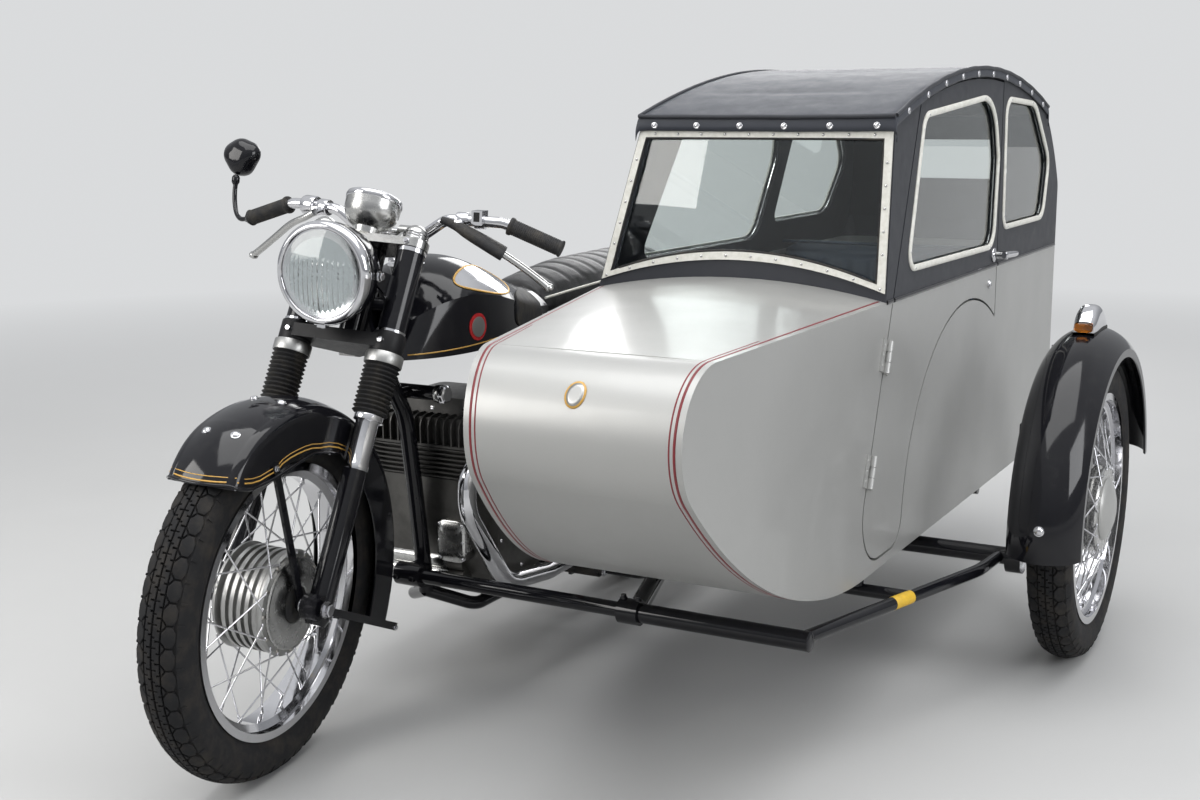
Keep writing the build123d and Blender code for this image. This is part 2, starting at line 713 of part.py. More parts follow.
with BuildPart() as dual_seat:
    seat_sections = (
        # y, width, edge height, top height
        (seat_front_y, 176, 800, 838),
        (seat_front_y + 240, seat_w, seat_edge_z, seat_top_z),
        (seat_rear_y - 60, seat_w - 10, seat_edge_z + 8, seat_top_z + 6),
        (seat_rear_y, seat_w - 50, seat_edge_z - 14, seat_top_z - 22),
    )
    for y, width, edge, top in seat_sections:
        with BuildSketch(Plane(origin=(0, y, 0), x_dir=(1, 0, 0), z_dir=(0, -1, 0))):
            with BuildLine():
                Line((-width / 2, seat_base_z), (width / 2, seat_base_z))
                Line((width / 2, seat_base_z), (width / 2, edge))
                ThreePointArc((width / 2, edge), (0, top), (-width / 2, edge))
                Line((-width / 2, edge), (-width / 2, seat_base_z))
            make_face()
    loft(ruled=True)
write(dual_seat, "dual_seat")

with BuildPart() as rear_mudguard:
    section = Plane(origin=(0, wheelbase, tyre_r), x_dir=(1, 0, 0), z_dir=(0, -1, 0))
    half_w = rear_guard_w / 2
    skin = face_on(section, [
        (-half_w, 306), (-half_w, 336), ((0, rear_guard_r), (half_w, 336)), (half_w, 306),
        (half_w - guard_sheet, 306), (half_w - guard_sheet, 336),
        ((0, rear_guard_r - guard_sheet), (guard_sheet - half_w, 336)), (guard_sheet - half_w, 306),
    ])
    revolve(skin, axis=Axis(section.origin, (1, 0, 0)), revolution_arc=72)
    revolve(skin, axis=Axis(section.origin, (-1, 0, 0)), revolution_arc=78)
    for side in (-1, 1):
        for y, z in ((wheelbase - 150, 616), (wheelbase - 20, 660)):
            rod((side * 73, y, z), (side * 85, y, rail_z - rail_r - 0.4), 7)
write(rear_mudguard, "rear_mudguard")

tail_y = wheelbase + rear_guard_r * sin(radians(62))
with BuildPart() as tail_lamp:
    plate(0, 40, [(tail_y - 60, 572), (tail_y + 36, 572), (tail_y + 30, 530), (tail_y - 20, 500)])
    with BuildSketch(Plane(origin=section.origin, x_dir=(0, 1, 0), z_dir=(1, 0, 0))) as guard_room:
        Circle(rear_guard_r + seat_gap)
    extrude(guard_room.sketch, amount=rear_guard_w, both=True, mode=Mode.SUBTRACT)
    turned((0, tail_y - 14, 598), (0, 1, 0), (1, 0, 0), [
        (0, 0), (22, 0), (33, 24), (33, 58), (31, 62), (29, 76), dome(29, 76, 84),
    ])
write(tail_lamp, "tail_lamp")

with BuildPart() as oil_tank_and_toolbox:
    for side, low in ((-1, 430), (1, 452)):
        with BuildSketch(Plane.YZ.offset(side * 68)):
            with Locations((wheelbase - 420, (low + 700) / 2)):
                RectangleRounded(150, 700 - low, 26)
        extrude(amount=side * 62)
        rod((side * 85, wheelbase - 377, 690), (side * 85, wheelbase - 377, rail_z - rail_r - seat_gap), 7)
write(oil_tank_and_toolbox, "oil_tank_and_toolbox")

with BuildPart() as rear_chain:
    chain_front_y = gearbox_rear_y + seat_gap
    high_side = sprocket_r + seat_gap
    for up in (1, -1):
        plate(chain_x, chain_t, [
            (chain_front_y, tyre_r + up * high_side - 30 * up), (wheelbase, tyre_r + up * high_side),
            (wheelbase, tyre_r + up * (high_side + chain_high)),
            (chain_front_y, tyre_r + up * (high_side + chain_high) - 30 * up),
        ])
    wrap = high_side + chain_high
    plate(chain_x, chain_t, [
        (wheelbase, tyre_r + wrap), ((wheelbase + wrap, tyre_r), (wheelbase, tyre_r - wrap)),
        (wheelbase, tyre_r - high_side), ((wheelbase + high_side, tyre_r), (wheelbase, tyre_r + high_side)),
    ])
    plate(chain_x, chain_t + 6, [
        (chain_front_y, tyre_r + wrap - 28), (wheelbase + 10, tyre_r + wrap), (wheelbase + 70, tyre_r + wrap - 16),
        (wheelbase + 76, tyre_r + wrap), (wheelbase + 10, tyre_r + wrap + 24), (chain_front_y, tyre_r + wrap - 4),
    ])
write(rear_chain, "rear_chain")

with BuildPart() as footrests:
    for side in (-1, 1):
        lug_x = side * (cradle_x + frame_tube_r + seat_gap + 4)
        rod((lug_x, 860, 182), (side * 236, 860, 182), 9)
        rod((side * 136, 860, 182), (side * 226, 860, 182), 13)
        plate(lug_x, 8, [(838, cradle_z - 12), (882, cradle_z - 12), (874, 196), (846, 196)])
write(footrests, "footrests")

with BuildPart() as centre_stand:
    rod((-stand_x - 24, stand_y, stand_z), (stand_x + 24, stand_y, stand_z), stand_pin_r)
    for side in (-1, 1):
        foot_y = stand_y + stand_len
        tube([
            (side * (stand_x - 8), stand_y - 8, stand_z), (side * (stand_x - 6), stand_y + 60, stand_z),
            (side * (stand_x + 14), foot_y, stand_z - 8),
        ], 10, [60])
        rod((side * (stand_x + 14), foot_y - 12, stand_z - 8), (side * (stand_x + 40), foot_y - 8, stand_z - 6), 10)
write(centre_stand, "centre_stand")

# Sidecar chassis, axle arm, mudguard and lamp
with BuildPart() as sidecar_chassis:
    rod((38 + seat_gap, cross_y, chassis_z), (joint_x, cross_y, chassis_z), arm_r)
    rod((joint_x - 22, cross_y, chassis_z), (joint_x + 22, cross_y, chassis_z), chassis_r + 6)
    rod((joint_x, cross_y, chassis_z), (cross_end_x + chassis_r, cross_y, chassis_z), chassis_r)
    tube([(joint_x + 10, cross_y, chassis_z), (inner_rail_x, 880, chassis_z), (inner_rail_x, 1720, chassis_z)], chassis_r, [300])
    tube([(cross_end_x, cross_y, chassis_z), (1040, 1020, chassis_z), (pivot_x, pivot_y + 20, chassis_z)], rail_side_r, [200])
    rod((inner_rail_x, pivot_y, chassis_z), (pivot_x + 16, pivot_y, chassis_z), chassis_r)
    rod((inner_rail_x, 1700, chassis_z), (850, 1700, chassis_z), rail_side_r)
    rod((430, 780, chassis_z), (965, 780, chassis_z), rail_side_r)
    for x, y, r in ((480, 780, rail_side_r), (850, 780, rail_side_r), (470, 1700, rail_side_r), (830, 1700, rail_side_r)):
        rod((x, y, chassis_z + r - 3), (x, y, floor_z), 22)
    tube([(inner_rail_x, 940, chassis_z), (300, 940, 166), (cradle_x + frame_tube_r + seat_gap, 940, 166)], arm_r, [60])
    tube([(inner_rail_x, 897, chassis_z), (240, 897, chassis_z), (33, 899, 590)], arm_r, [40])
    rod((down_tube_r + seat_gap, 895, 590), (48, 895, 590), 13)
write(sidecar_chassis, "sidecar_chassis")

with BuildPart() as sidecar_axle:
    rod((pivot_x + 16 + seat_gap, pivot_y, chassis_z), (pivot_x + 50, pivot_y, chassis_z), 34)
    rod((pivot_x + 33, pivot_y, chassis_z), (pivot_x + 33, sidecar_axle_y, tyre_r), 17)
    rod((pivot_x + 14, sidecar_axle_y, tyre_r), (track - hub_w / 2 - 12, sidecar_axle_y, tyre_r), 22)
    rod((pivot_x + 14, sidecar_axle_y, tyre_r), (track + hub_w / 2 + 2, sidecar_axle_y, tyre_r), axle_r)
write(sidecar_axle, "sidecar_axle")

with BuildPart() as sidecar_mudguard:
    guard_centre = Vector(track, sidecar_axle_y, tyre_r)
    section = Plane(origin=guard_centre, x_dir=(1, 0, 0), z_dir=(0, -1, 0))
    half_w = side_guard_w / 2
    lip = side_guard_r - side_guard_lip
    shoulder = lip + 16
    skin = face_on(section, [
        (-half_w, lip), (-half_w, shoulder), ((0, side_guard_r), (half_w, shoulder)), (half_w, lip),
        (half_w - guard_sheet, lip), (half_w - guard_sheet, shoulder),
        ((0, side_guard_r - guard_sheet), (guard_sheet - half_w, shoulder)), (guard_sheet - half_w, lip),
    ])
    revolve(skin, axis=Axis(guard_centre, (1, 0, 0)), revolution_arc=94)
    revolve(skin, axis=Axis(guard_centre, (-1, 0, 0)), revolution_arc=80)
    rod((pivot_x + 33, pivot_y, chassis_z + 35.4), (track - half_w + 1, 1090, 560), 7)
    rod((pivot_x + 33, sidecar_axle_y, tyre_r + 22.7), (track - half_w + 1, sidecar_axle_y, 690), 7)
write(sidecar_mudguard, "sidecar_mudguard")

with BuildPart() as side_lamp:
    lamp_base = tyre_r + side_guard_r
    plate(track, 52, [
        (sidecar_axle_y - 70, lamp_base - 20), (sidecar_axle_y - 74, lamp_base + 22),
        ((sidecar_axle_y - 10, lamp_base + 62), (sidecar_axle_y + 62, lamp_base + 20)), (sidecar_axle_y + 60, lamp_base - 20),
    ])
    with BuildSketch(Plane(origin=guard_centre, x_dir=(0, 1, 0), z_dir=(1, 0, 0))) as guard_room:
        Circle(side_guard_r + seat_gap)
    extrude(guard_room.sketch, amount=side_guard_w, both=True, mode=Mode.SUBTRACT)
write(side_lamp, "side_lamp")

# Sidecar body: the nose and bonnet are one sheet, the sides are flat
break_sin = sin(radians(nose_break))
break_cos = cos(radians(nose_break))
nose_centre_y = nose_y + nose_r


def nose_path(inset):
    """The nose seen from the side, from the bonnet's front edge round to the floor."""
    small = nose_r - inset
    top = waist_z - inset
    centre_z = waist_z - nose_r
    break_point = (nose_centre_y - small * break_cos, centre_z - small * break_sin)
    outer_break_z = centre_z - nose_r * break_sin
    big = (outer_break_z - floor_z) / (1 - break_cos)
    big_y = nose_centre_y - nose_r * break_cos + big * break_sin
    big_z = floor_z + big
    reach = big - inset
    half = radians((90 - nose_break) / 2)
    middle = (big_y - reach * sin(half), big_z - reach * cos(half))
    return [
        (nose_centre_y, top),
        ((nose_centre_y - small * sin(radians(67.5)), centre_z + small * cos(radians(67.5))), break_point),
        (middle, (big_y, floor_z + inset)),
    ]


def plan(inset):
    """The body seen from above: tapered nose on the bike's side, rounded tail corners."""
    taper = (nose_inner_x - inner_x) / (screen_y - nose_y)
    front = nose_y - 60
    with BuildSketch() as outline:
        with BuildLine():
            Polyline(
                (inner_x + taper * (screen_y - front) + inset, front), (body_x - inset, front),
                (body_x - inset, body_rear_y - inset), (inner_x + inset, body_rear_y - inset),
                (inner_x + inset, screen_y), close=True,
            )
        make_face()
        fillet(outline.vertices().group_by(Axis.Y)[-1], corner_r - inset)
    return outline.sketch


outer_nose = nose_path(0)
inner_nose = nose_path(sheet)
floor_y = outer_nose[-1][1][0]
with BuildPart() as bonnet:
    plate(body_x / 2, body_x, outer_nose + [
        inner_nose[-1][1], (inner_nose[-1][0], inner_nose[1][1]), (inner_nose[1][0], inner_nose[0]),
    ])
    extrude(plan(0), amount=2000, mode=Mode.INTERSECT)
    for y, rise in ((nose_centre_y, 1), (screen_y, cowl_rise)):
        inner_edge = inner_x + (nose_inner_x - inner_x) / (screen_y - nose_y) * (screen_y - y)
        middle = (inner_edge + body_x) / 2
        with BuildSketch(Plane(origin=(0, y, 0), x_dir=(1, 0, 0), z_dir=(0, -1, 0))) as crown:
            with BuildLine():
                Line((inner_edge, waist_z - sheet), (inner_edge, waist_z))
                ThreePointArc((inner_edge, waist_z), (middle, waist_z + rise), (body_x, waist_z))
                Line((body_x, waist_z), (body_x, waist_z - sheet))
                ThreePointArc((body_x, waist_z - sheet), (middle, waist_z - sheet + rise), (inner_edge, waist_z - sheet))
            make_face()
    loft(ruled=True)
write(bonnet, "bonnet")

# Sidecar tub: flat sides, floor, tail and the box that carries the seat
cabin_lean = (header_inner_x - inner_x) / (header_z - waist_z)
body_mid_x = (inner_x + body_x) / 2
inside_w = body_x - inner_x - 2 * wall
side_profile = inner_nose + [
    (floor_y, floor_z), (body_rear_y - tail_r, floor_z),
    ((body_rear_y - tail_r * (1 - sqrt(0.5)), floor_z + tail_r * (1 - sqrt(0.5))), (body_rear_y, floor_z + tail_r)),
    (body_rear_y, waist_z), (screen_y, waist_z), (screen_y, waist_z - sheet),
]
rear_middle = (body_rear_y - 92, (waist_z + roof_rear_z) / 2 + 28)
cabin_profile = [
    (screen_y, waist_z), (header_y, header_z),
    ((roof_peak_y, roof_peak_z), (roof_rear_y, roof_rear_z)),
    (rear_middle, (body_rear_y, waist_z)),
]


def front_view(inset):
    """The cabin seen from the front: upright on the road side, leaning in over the bike."""
    low = waist_z - 60
    high = roof_peak_z + 200
    return face_on(Plane.XZ, [
        (inner_x + cabin_lean * (low - waist_z) + inset, low), (body_x - inset, low),
        (body_x - inset, high), (inner_x + cabin_lean * (high - waist_z) + inset, high),
    ])


with BuildSketch(Plane.YZ) as door_outline:
    with BuildLine():
        rise = tan(radians(door_lean))
        Polyline(
            (door_foot_y, door_foot_z), (door_rear_y, door_foot_z), (door_rear_y, roof_peak_z),
            (door_foot_y + rise * (roof_peak_z - door_foot_z), roof_peak_z), close=True,
        )
    make_face()
    with Locations((sidecar_axle_y, tyre_r)):
        Circle(side_guard_r + door_arch_gap, mode=Mode.SUBTRACT)
    with BuildLine():
        drop = cant_rail
        Polyline(
            (roof_rear_y, roof_rear_z - drop), (roof_rear_y, 200), (0, 200), (0, header_z - drop), (header_y, header_z - drop)
        )
        ThreePointArc((header_y, header_z - drop), (roof_peak_y, roof_peak_z - drop), (roof_rear_y, roof_rear_z - drop))
    make_face(mode=Mode.INTERSECT)
    foot_corner = door_outline.vertices().sort_by_distance((door_foot_y, door_foot_z))[0]
    fillet(foot_corner, door_corner_r)
    arch_corner = door_outline.vertices().group_by(Axis.Y)[0].sort_by(Axis.X)[-1]
    fillet(arch_corner, 60)
with BuildSketch(Plane.YZ) as door_opening:
    add(door_outline.sketch_local)
    offset(amount=door_gap)

# Window outlines seen from the side: (y, height above the waist, corner radius)
front_window = [
    (896, 52, 34),
    (978, 352, 40),
    (1496, 392, 120),
    (1550, 250, 60),
    (1536, 46, 50),
]
rear_window = [
    (1616, 84, 34),
    (1604, 384, 40),
    (1880, 372, 110),
    (2052, 230, 60),
    (2010, 84, 50),
]


def pane(plane, corners, shrink=0):
    """A window's outline with its rounded corners, on a plane whose zero height is the waist."""
    with BuildSketch(plane) as outline:
        with BuildLine():
            Polyline(*[(y, z) for y, z, r in corners], close=True)
        make_face()
        for y, z, r in corners:
            fillet(outline.vertices().sort_by_distance((y, z))[0], r)
        if shrink:
            offset(amount=-shrink, kind=Kind.INTERSECTION)
    return outline.sketch


road_side = Plane(origin=(body_x - wall / 2, 0, waist_z), x_dir=(0, 1, 0), z_dir=(1, 0, 0))
lean_up = Vector(cabin_lean, 0, 1).normalized()
bike_side = Plane(
    origin=(inner_x + wall / 2, 0, waist_z), x_dir=(0, 1, 0), z_dir=Vector(0, 1, 0).cross(lean_up)
)
screen_up = Vector(0, header_y - screen_y, header_z - waist_z).normalized()
screen_plane = Plane(origin=(0, screen_y, waist_z), x_dir=(1, 0, 0), z_dir=Vector(1, 0, 0).cross(screen_up))
screen_h = hypot(header_y - screen_y, header_z - waist_z)
lean_step = cabin_lean * (header_z - waist_z) / screen_h


def screen_outline(edge, sill, top):
    """The windscreen's outline: edge in from the cabin's corners, arched sill, straight top."""
    return face_on(screen_plane, [
        (inner_x + edge + lean_step * sill, sill),
        ((body_mid_x, sill + screen_sill_rise), (body_x - edge, sill)),
        (body_x - edge, top), (inner_x + edge + lean_step * top, top),
    ])


with BuildPart() as tub_room:
    plate(body_mid_x, 2000, [
        (nose_y - 200, 2000), (nose_y - 200, 0), (floor_y, 0), (floor_y, floor_z + floor_t),
        (body_rear_y - tail_r, floor_z + floor_t), (body_rear_y - wall, floor_z + tail_r), (body_rear_y - wall, 2000),
    ])
    extrude(plan(wall), amount=3000, mode=Mode.INTERSECT)

with BuildPart() as sidecar_tub:
    plate(body_mid_x, 2000, side_profile)
    extrude(plan(0), amount=3000, mode=Mode.INTERSECT)
    add(tub_room.part, mode=Mode.SUBTRACT)
    plate(body_mid_x, inside_w + 2, [
        (seat_box_y, floor_z + 2), (seat_box_y, seat_box_z), (seat_box_y + 560, seat_box_z),
        (seat_box_y + 560, seat_box_z - 12), (seat_box_y + 12, seat_box_z - 12), (seat_box_y + 12, floor_z + 2),
    ])
    extrude(Plane.YZ.offset(body_x - wall - 1) * door_opening.sketch_local, amount=wall + 2, mode=Mode.SUBTRACT)
write(sidecar_tub, "sidecar_tub")

with BuildPart() as cabin_room:
    with BuildSketch(Plane.YZ) as room_outline:
        add(face_on(Plane.XY, cabin_profile))
        offset(amount=-wall, kind=Kind.INTERSECTION)
    extrude(room_outline.sketch, amount=2000)
    plate(body_mid_x, 2000, [
        (header_y + wall + 4, header_z - 60), (header_y + wall + 4, 1500), (roof_rear_y - wall, 1500),
        (roof_rear_y - wall, roof_rear_z - 60),
    ])
    plate(body_mid_x, 2000, [
        (screen_y + wall, waist_z - 10), (screen_y + wall + 6, waist_z + 60), (body_rear_y - wall - 8, waist_z + 60),
        (body_rear_y - wall, waist_z - 10),
    ])
    extrude(front_view(wall), amount=-3000, mode=Mode.INTERSECT)
    extrude(plan(wall), amount=3000, mode=Mode.INTERSECT)

with BuildPart() as cabin_shell:
    plate(body_mid_x, 2000, cabin_profile)
    extrude(front_view(0), amount=-3000, mode=Mode.INTERSECT)
    extrude(plan(0), amount=3000, mode=Mode.INTERSECT)
    add(cabin_room.part, mode=Mode.SUBTRACT)
    extrude(Plane.YZ.offset(body_x - wall - 1) * door_opening.sketch_local, amount=wall + 2, mode=Mode.SUBTRACT)
    extrude(pane(road_side, rear_window), amount=wall, both=True, mode=Mode.SUBTRACT)
    for corners in (front_window, rear_window):
        extrude(pane(bike_side, corners), amount=wall, both=True, mode=Mode.SUBTRACT)
    extrude(screen_outline(post_w, 34, screen_h - 34), amount=-2 * wall, both=True, mode=Mode.SUBTRACT)
    with BuildSketch(Plane.XZ.offset(-body_rear_y - 100)) as tail_window:
        with Locations((body_mid_x + 20, waist_z + 226)):
            RectangleRounded(330, 108, 26)
    extrude(tail_window.sketch, amount=400, mode=Mode.SUBTRACT)
write(cabin_shell, "cabin_shell")

with BuildPart() as tail_glass:
    with BuildSketch(Plane.YZ) as tail_sheet:
        add(face_on(Plane.XY, cabin_profile))
        offset(amount=(glass_t - wall) / 2, kind=Kind.INTERSECTION)
    with BuildSketch(Plane.YZ) as tail_core:
        add(face_on(Plane.XY, cabin_profile))
        offset(amount=-(glass_t + wall) / 2, kind=Kind.INTERSECTION)
    extrude(tail_sheet.sketch, amount=2000)
    extrude(tail_core.sketch, amount=2000, mode=Mode.SUBTRACT)
    with BuildSketch(Plane.XZ.offset(-body_rear_y - 100)) as tail_pane:
        with Locations((body_mid_x + 20, waist_z + 226)):
            RectangleRounded(330 - 2 * seat_gap, 108 - 2 * seat_gap, 26 - seat_gap)
    extrude(tail_pane.sketch, amount=400, mode=Mode.INTERSECT)

with BuildPart() as roof_cover:
    over = 6
    plate(body_mid_x, 2000, [
        (header_y - 10, header_z - 20), (header_y - 10, header_z + roof_sheet),
        ((roof_peak_y, roof_peak_z + roof_sheet), (roof_rear_y + 16, roof_rear_z + roof_sheet - 8)),
        (roof_rear_y + 14, roof_rear_z - 16), (roof_rear_y, roof_rear_z + seat_gap),
        ((roof_peak_y, roof_peak_z + seat_gap), (header_y - seat_gap, header_z + seat_gap)), (header_y - 2, header_z - 20),
    ])
    extrude(front_view(-over), amount=-3000, mode=Mode.INTERSECT)
    plate(body_mid_x, 2000, cabin_profile, Mode.SUBTRACT)
write(roof_cover, "roof_cover")

with BuildPart() as screen_frame:
    extrude(screen_outline(3, 17, screen_h - 24), amount=4)
    extrude(screen_outline(post_w - 3, 34, screen_h - 37), amount=5, mode=Mode.SUBTRACT)
write(screen_frame, "screen_frame")

with BuildPart() as cabin_glass:
    glass_mid = wall / 2
    extrude(
        screen_outline(post_w + seat_gap, 34 + seat_gap, screen_h - 34 - seat_gap).translate(-screen_plane.z_dir * glass_mid),
        amount=glass_t / 2, both=True,
    )
    extrude(pane(road_side, rear_window, seat_gap), amount=glass_t / 2, both=True)
    for corners in (front_window, rear_window):
        extrude(pane(bike_side, corners, seat_gap), amount=glass_t / 2, both=True)
    add(tail_glass.part)
write(cabin_glass, "cabin_glass")

with BuildPart() as sidecar_seat:
    cushion_low = seat_box_z + seat_gap
    plate(body_mid_x, inside_w - 16, [
        (seat_box_y - 14, cushion_low), (seat_box_y - 16, cushion_low + 80), ((seat_box_y + 10, cushion_low + 112),
        (seat_box_y + 60, cushion_low + 116)), (seat_box_y + 440, cushion_low + 96), (seat_box_y + 424, cushion_low),
    ])
    plate(body_mid_x, inside_w - 20, [
        (seat_box_y + 430, cushion_low), (seat_box_y + 448, cushion_low + 110), (seat_box_y + 520, 840),
        ((seat_box_y + 556, 876), (seat_box_y + 590, 840)), (seat_box_y + 540, cushion_low),
    ])
write(sidecar_seat, "sidecar_seat")

# Door with its half of the hinges, its glass and its handle
hinge_axis = Vector(0, sin(radians(door_lean)), cos(radians(door_lean)))
hinge_foot = Vector(body_x + hinge_out, door_foot_y - door_gap / 2, door_foot_z)
hinge_across = Vector(0, cos(radians(door_lean)), -sin(radians(door_lean)))
hinge_rows = (198, 424)
knuckle_r = 6.5
leaf_t = 3


def leaf(row, low, high, near, far):
    """A hinge leaf on the body's face, between two distances from the pin."""
    corners = [
        hinge_foot + hinge_axis * (row + low) + hinge_across * near,
        hinge_foot + hinge_axis * (row + low) + hinge_across * far,
        hinge_foot + hinge_axis * (row + high) + hinge_across * far,
        hinge_foot + hinge_axis * (row + high) + hinge_across * near,
    ]
    plate(body_x + leaf_t / 2, leaf_t, [(corner.Y, corner.Z) for corner in corners])


with BuildPart() as door_hinges:
    for row in hinge_rows:
        middle = hinge_foot + hinge_axis * row
        rod(middle - hinge_axis * 32, middle + hinge_axis * 32, hinge_pin_r)
        for low in (-32, 11):
            rod(middle + hinge_axis * low, middle + hinge_axis * (low + 21), knuckle_r)
            leaf(row, low, low + 21, -9, -2)
        leaf(row, -32, 32, -26, -8)
write(door_hinges, "door_hinges")

with BuildPart() as door_panel:
    extrude(Plane.YZ.offset(body_x - wall) * door_outline.sketch_local, amount=wall)
    extrude(pane(road_side, front_window), amount=wall, both=True, mode=Mode.SUBTRACT)
    split(bisect_by=Plane.XY.offset(waist_z), keep=Keep.BOTTOM)
    for row in hinge_rows:
        middle = hinge_foot + hinge_axis * row
        rod(middle - hinge_axis * 10, middle + hinge_axis * 10, knuckle_r)
        leaf(row, -10, 10, 2, 9)
        leaf(row, -32, 32, 8, 26)
        rod(middle - hinge_axis * 11, middle + hinge_axis * 11, hinge_pin_r + fit_gap, Mode.SUBTRACT)
write(door_panel, "door_panel")

with BuildPart() as door_frame:
    extrude(Plane.YZ.offset(body_x - wall) * door_outline.sketch_local, amount=wall)
    extrude(pane(road_side, front_window), amount=wall, both=True, mode=Mode.SUBTRACT)
    split(bisect_by=Plane.XY.offset(waist_z), keep=Keep.TOP)
write(door_frame, "door_frame")

with BuildPart() as door_glass:
    extrude(pane(road_side, front_window, seat_gap), amount=glass_t / 2, both=True)
write(door_glass, "door_glass")

with BuildPart() as door_handle:
    handle_y = door_rear_y - 34
    handle_z = waist_z + 26
    turned((body_x, handle_y, handle_z), (1, 0, 0), (0, 1, 0), [(0, 0), (15, 0), (13, 5), (8, 8), (8, 30), (0, 30)])
    rod((body_x + 26, handle_y - 10, handle_z), (body_x + 30, handle_y + 108, handle_z - 4), 7)
write(door_handle, "door_handle")
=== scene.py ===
from math import atan2, copysign, cos, exp, hypot, pi, radians, sin, sqrt, tan

import bmesh
import bpy
from mathutils import Matrix, Vector
from mathutils.bvhtree import BVHTree


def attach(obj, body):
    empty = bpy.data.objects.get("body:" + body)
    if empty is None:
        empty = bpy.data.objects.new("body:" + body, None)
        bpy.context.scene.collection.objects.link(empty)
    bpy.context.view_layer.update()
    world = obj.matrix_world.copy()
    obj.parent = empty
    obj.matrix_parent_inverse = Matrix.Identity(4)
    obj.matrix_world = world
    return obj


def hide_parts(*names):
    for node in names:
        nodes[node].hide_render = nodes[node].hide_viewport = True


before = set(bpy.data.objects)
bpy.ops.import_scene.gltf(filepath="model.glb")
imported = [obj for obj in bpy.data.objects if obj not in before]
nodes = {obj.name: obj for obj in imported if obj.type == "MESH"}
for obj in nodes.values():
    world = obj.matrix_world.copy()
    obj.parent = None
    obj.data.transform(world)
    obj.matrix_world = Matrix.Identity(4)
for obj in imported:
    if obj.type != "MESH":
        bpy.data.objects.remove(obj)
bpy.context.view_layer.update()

scene = bpy.context.scene
scene.view_settings.view_transform = "Standard"

# Places that the solids share with this script, in metres, in the layout of the part:
# x to the rider's left, y to the rear, from the ground under the straight front wheel
MM = 0.001
OFFSET = Vector((-0.3895, -0.95, 0.0))
RAKE = radians(27)
STEER_REST = radians(8.25)
STEM_AXIS = Vector((0, sin(RAKE), cos(RAKE)))
STEM_POINT = OFFSET + Vector((0, 0.04455, 0.3123))
LEG_X, LEG_BACK = 0.1, 0.02
HEADLAMP_Y, HEADLAMP_Z = 0.172, 0.912
TYRE_R = 0.335
WHEELBASE = 1.422
TRACK = 1.174
SIDE_AXLE_Y = 1.347
BODY_X = 0.905
INNER_X = 0.277
NOSE_INNER_X = 0.529
SCREEN_Y = 0.772
WAIST_Z = 0.838
HEADER = (0.8, 1.185)
HEADER_INNER_X = 0.368
DOOR_LEAN = radians(20.3)


def at(x, y, z):
    """A point of the layout in the row frame."""
    return OFFSET + Vector((x, y, z))


STEER = (
    Matrix.Translation(STEM_POINT)
    @ Matrix.Rotation(STEER_REST, 4, STEM_AXIS)
    @ Matrix.Translation(-STEM_POINT)
)


def steered(x, y, z):
    """A point of the straight fork, turned with it to its rest angle."""
    return STEER @ at(x, y, z)


def shift_of(x, y, z):
    """A step of the straight fork, turned with it."""
    return STEER.to_3x3() @ Vector((x, y, z))


def steered_dir(x, y, z):
    """A direction of the straight fork, turned with it."""
    return shift_of(x, y, z).normalized()


def fork_dir(x, back, up):
    """A direction across, behind and up the fork, before it turns."""
    sine, cosine = sin(RAKE), cos(RAKE)
    return Vector((x, back * cosine + up * sine, up * cosine - back * sine))


def fork(x, back, up):
    """A point across, behind the axle and up the fork's legs, turned with the fork."""
    return STEER @ (at(0, 0, TYRE_R) + fork_dir(x, back, up))


# Materials

class Nodes:
    """A node tree that is built up from small calls."""

    def __init__(self, tree):
        self.tree = tree
        tree.nodes.clear()

    def new(self, kind, **settings):
        node = self.tree.nodes.new(kind)
        for name, value in settings.items():
            setattr(node, name, value)
        return node

    def link(self, value, socket):
        if isinstance(value, bpy.types.NodeSocket):
            self.tree.links.new(value, socket)
        elif isinstance(value, (tuple, list)) and len(value) == 3 and socket.type == "RGBA":
            socket.default_value = (*value, 1)
        else:
            socket.default_value = value

    def feed(self, node, *values):
        """Give a node's first inputs their values or links."""
        for value, socket in zip(values, node.inputs):
            self.link(value, socket)
        return node.outputs[0]

    def spread(self, value, low, high, from_low=0.0, from_high=1.0):
        """A value between two limits, clamped."""
        return self.feed(self.new("ShaderNodeMapRange"), value, from_low, from_high, low, high)

    def sum(self, kind, first, second=0.0):
        return self.feed(self.new("ShaderNodeMath", operation=kind), first, second)

    def mix(self, share, first, second):
        node = self.new("ShaderNodeMix", data_type="RGBA")
        for index, value in ((0, share), (6, first), (7, second)):
            self.link(value, node.inputs[index])
        return node.outputs[2]

    def either(self, first, *others):
        """Where any of several light paths is met."""
        for other in others:
            first = self.sum("MAXIMUM", first, other)
        return first


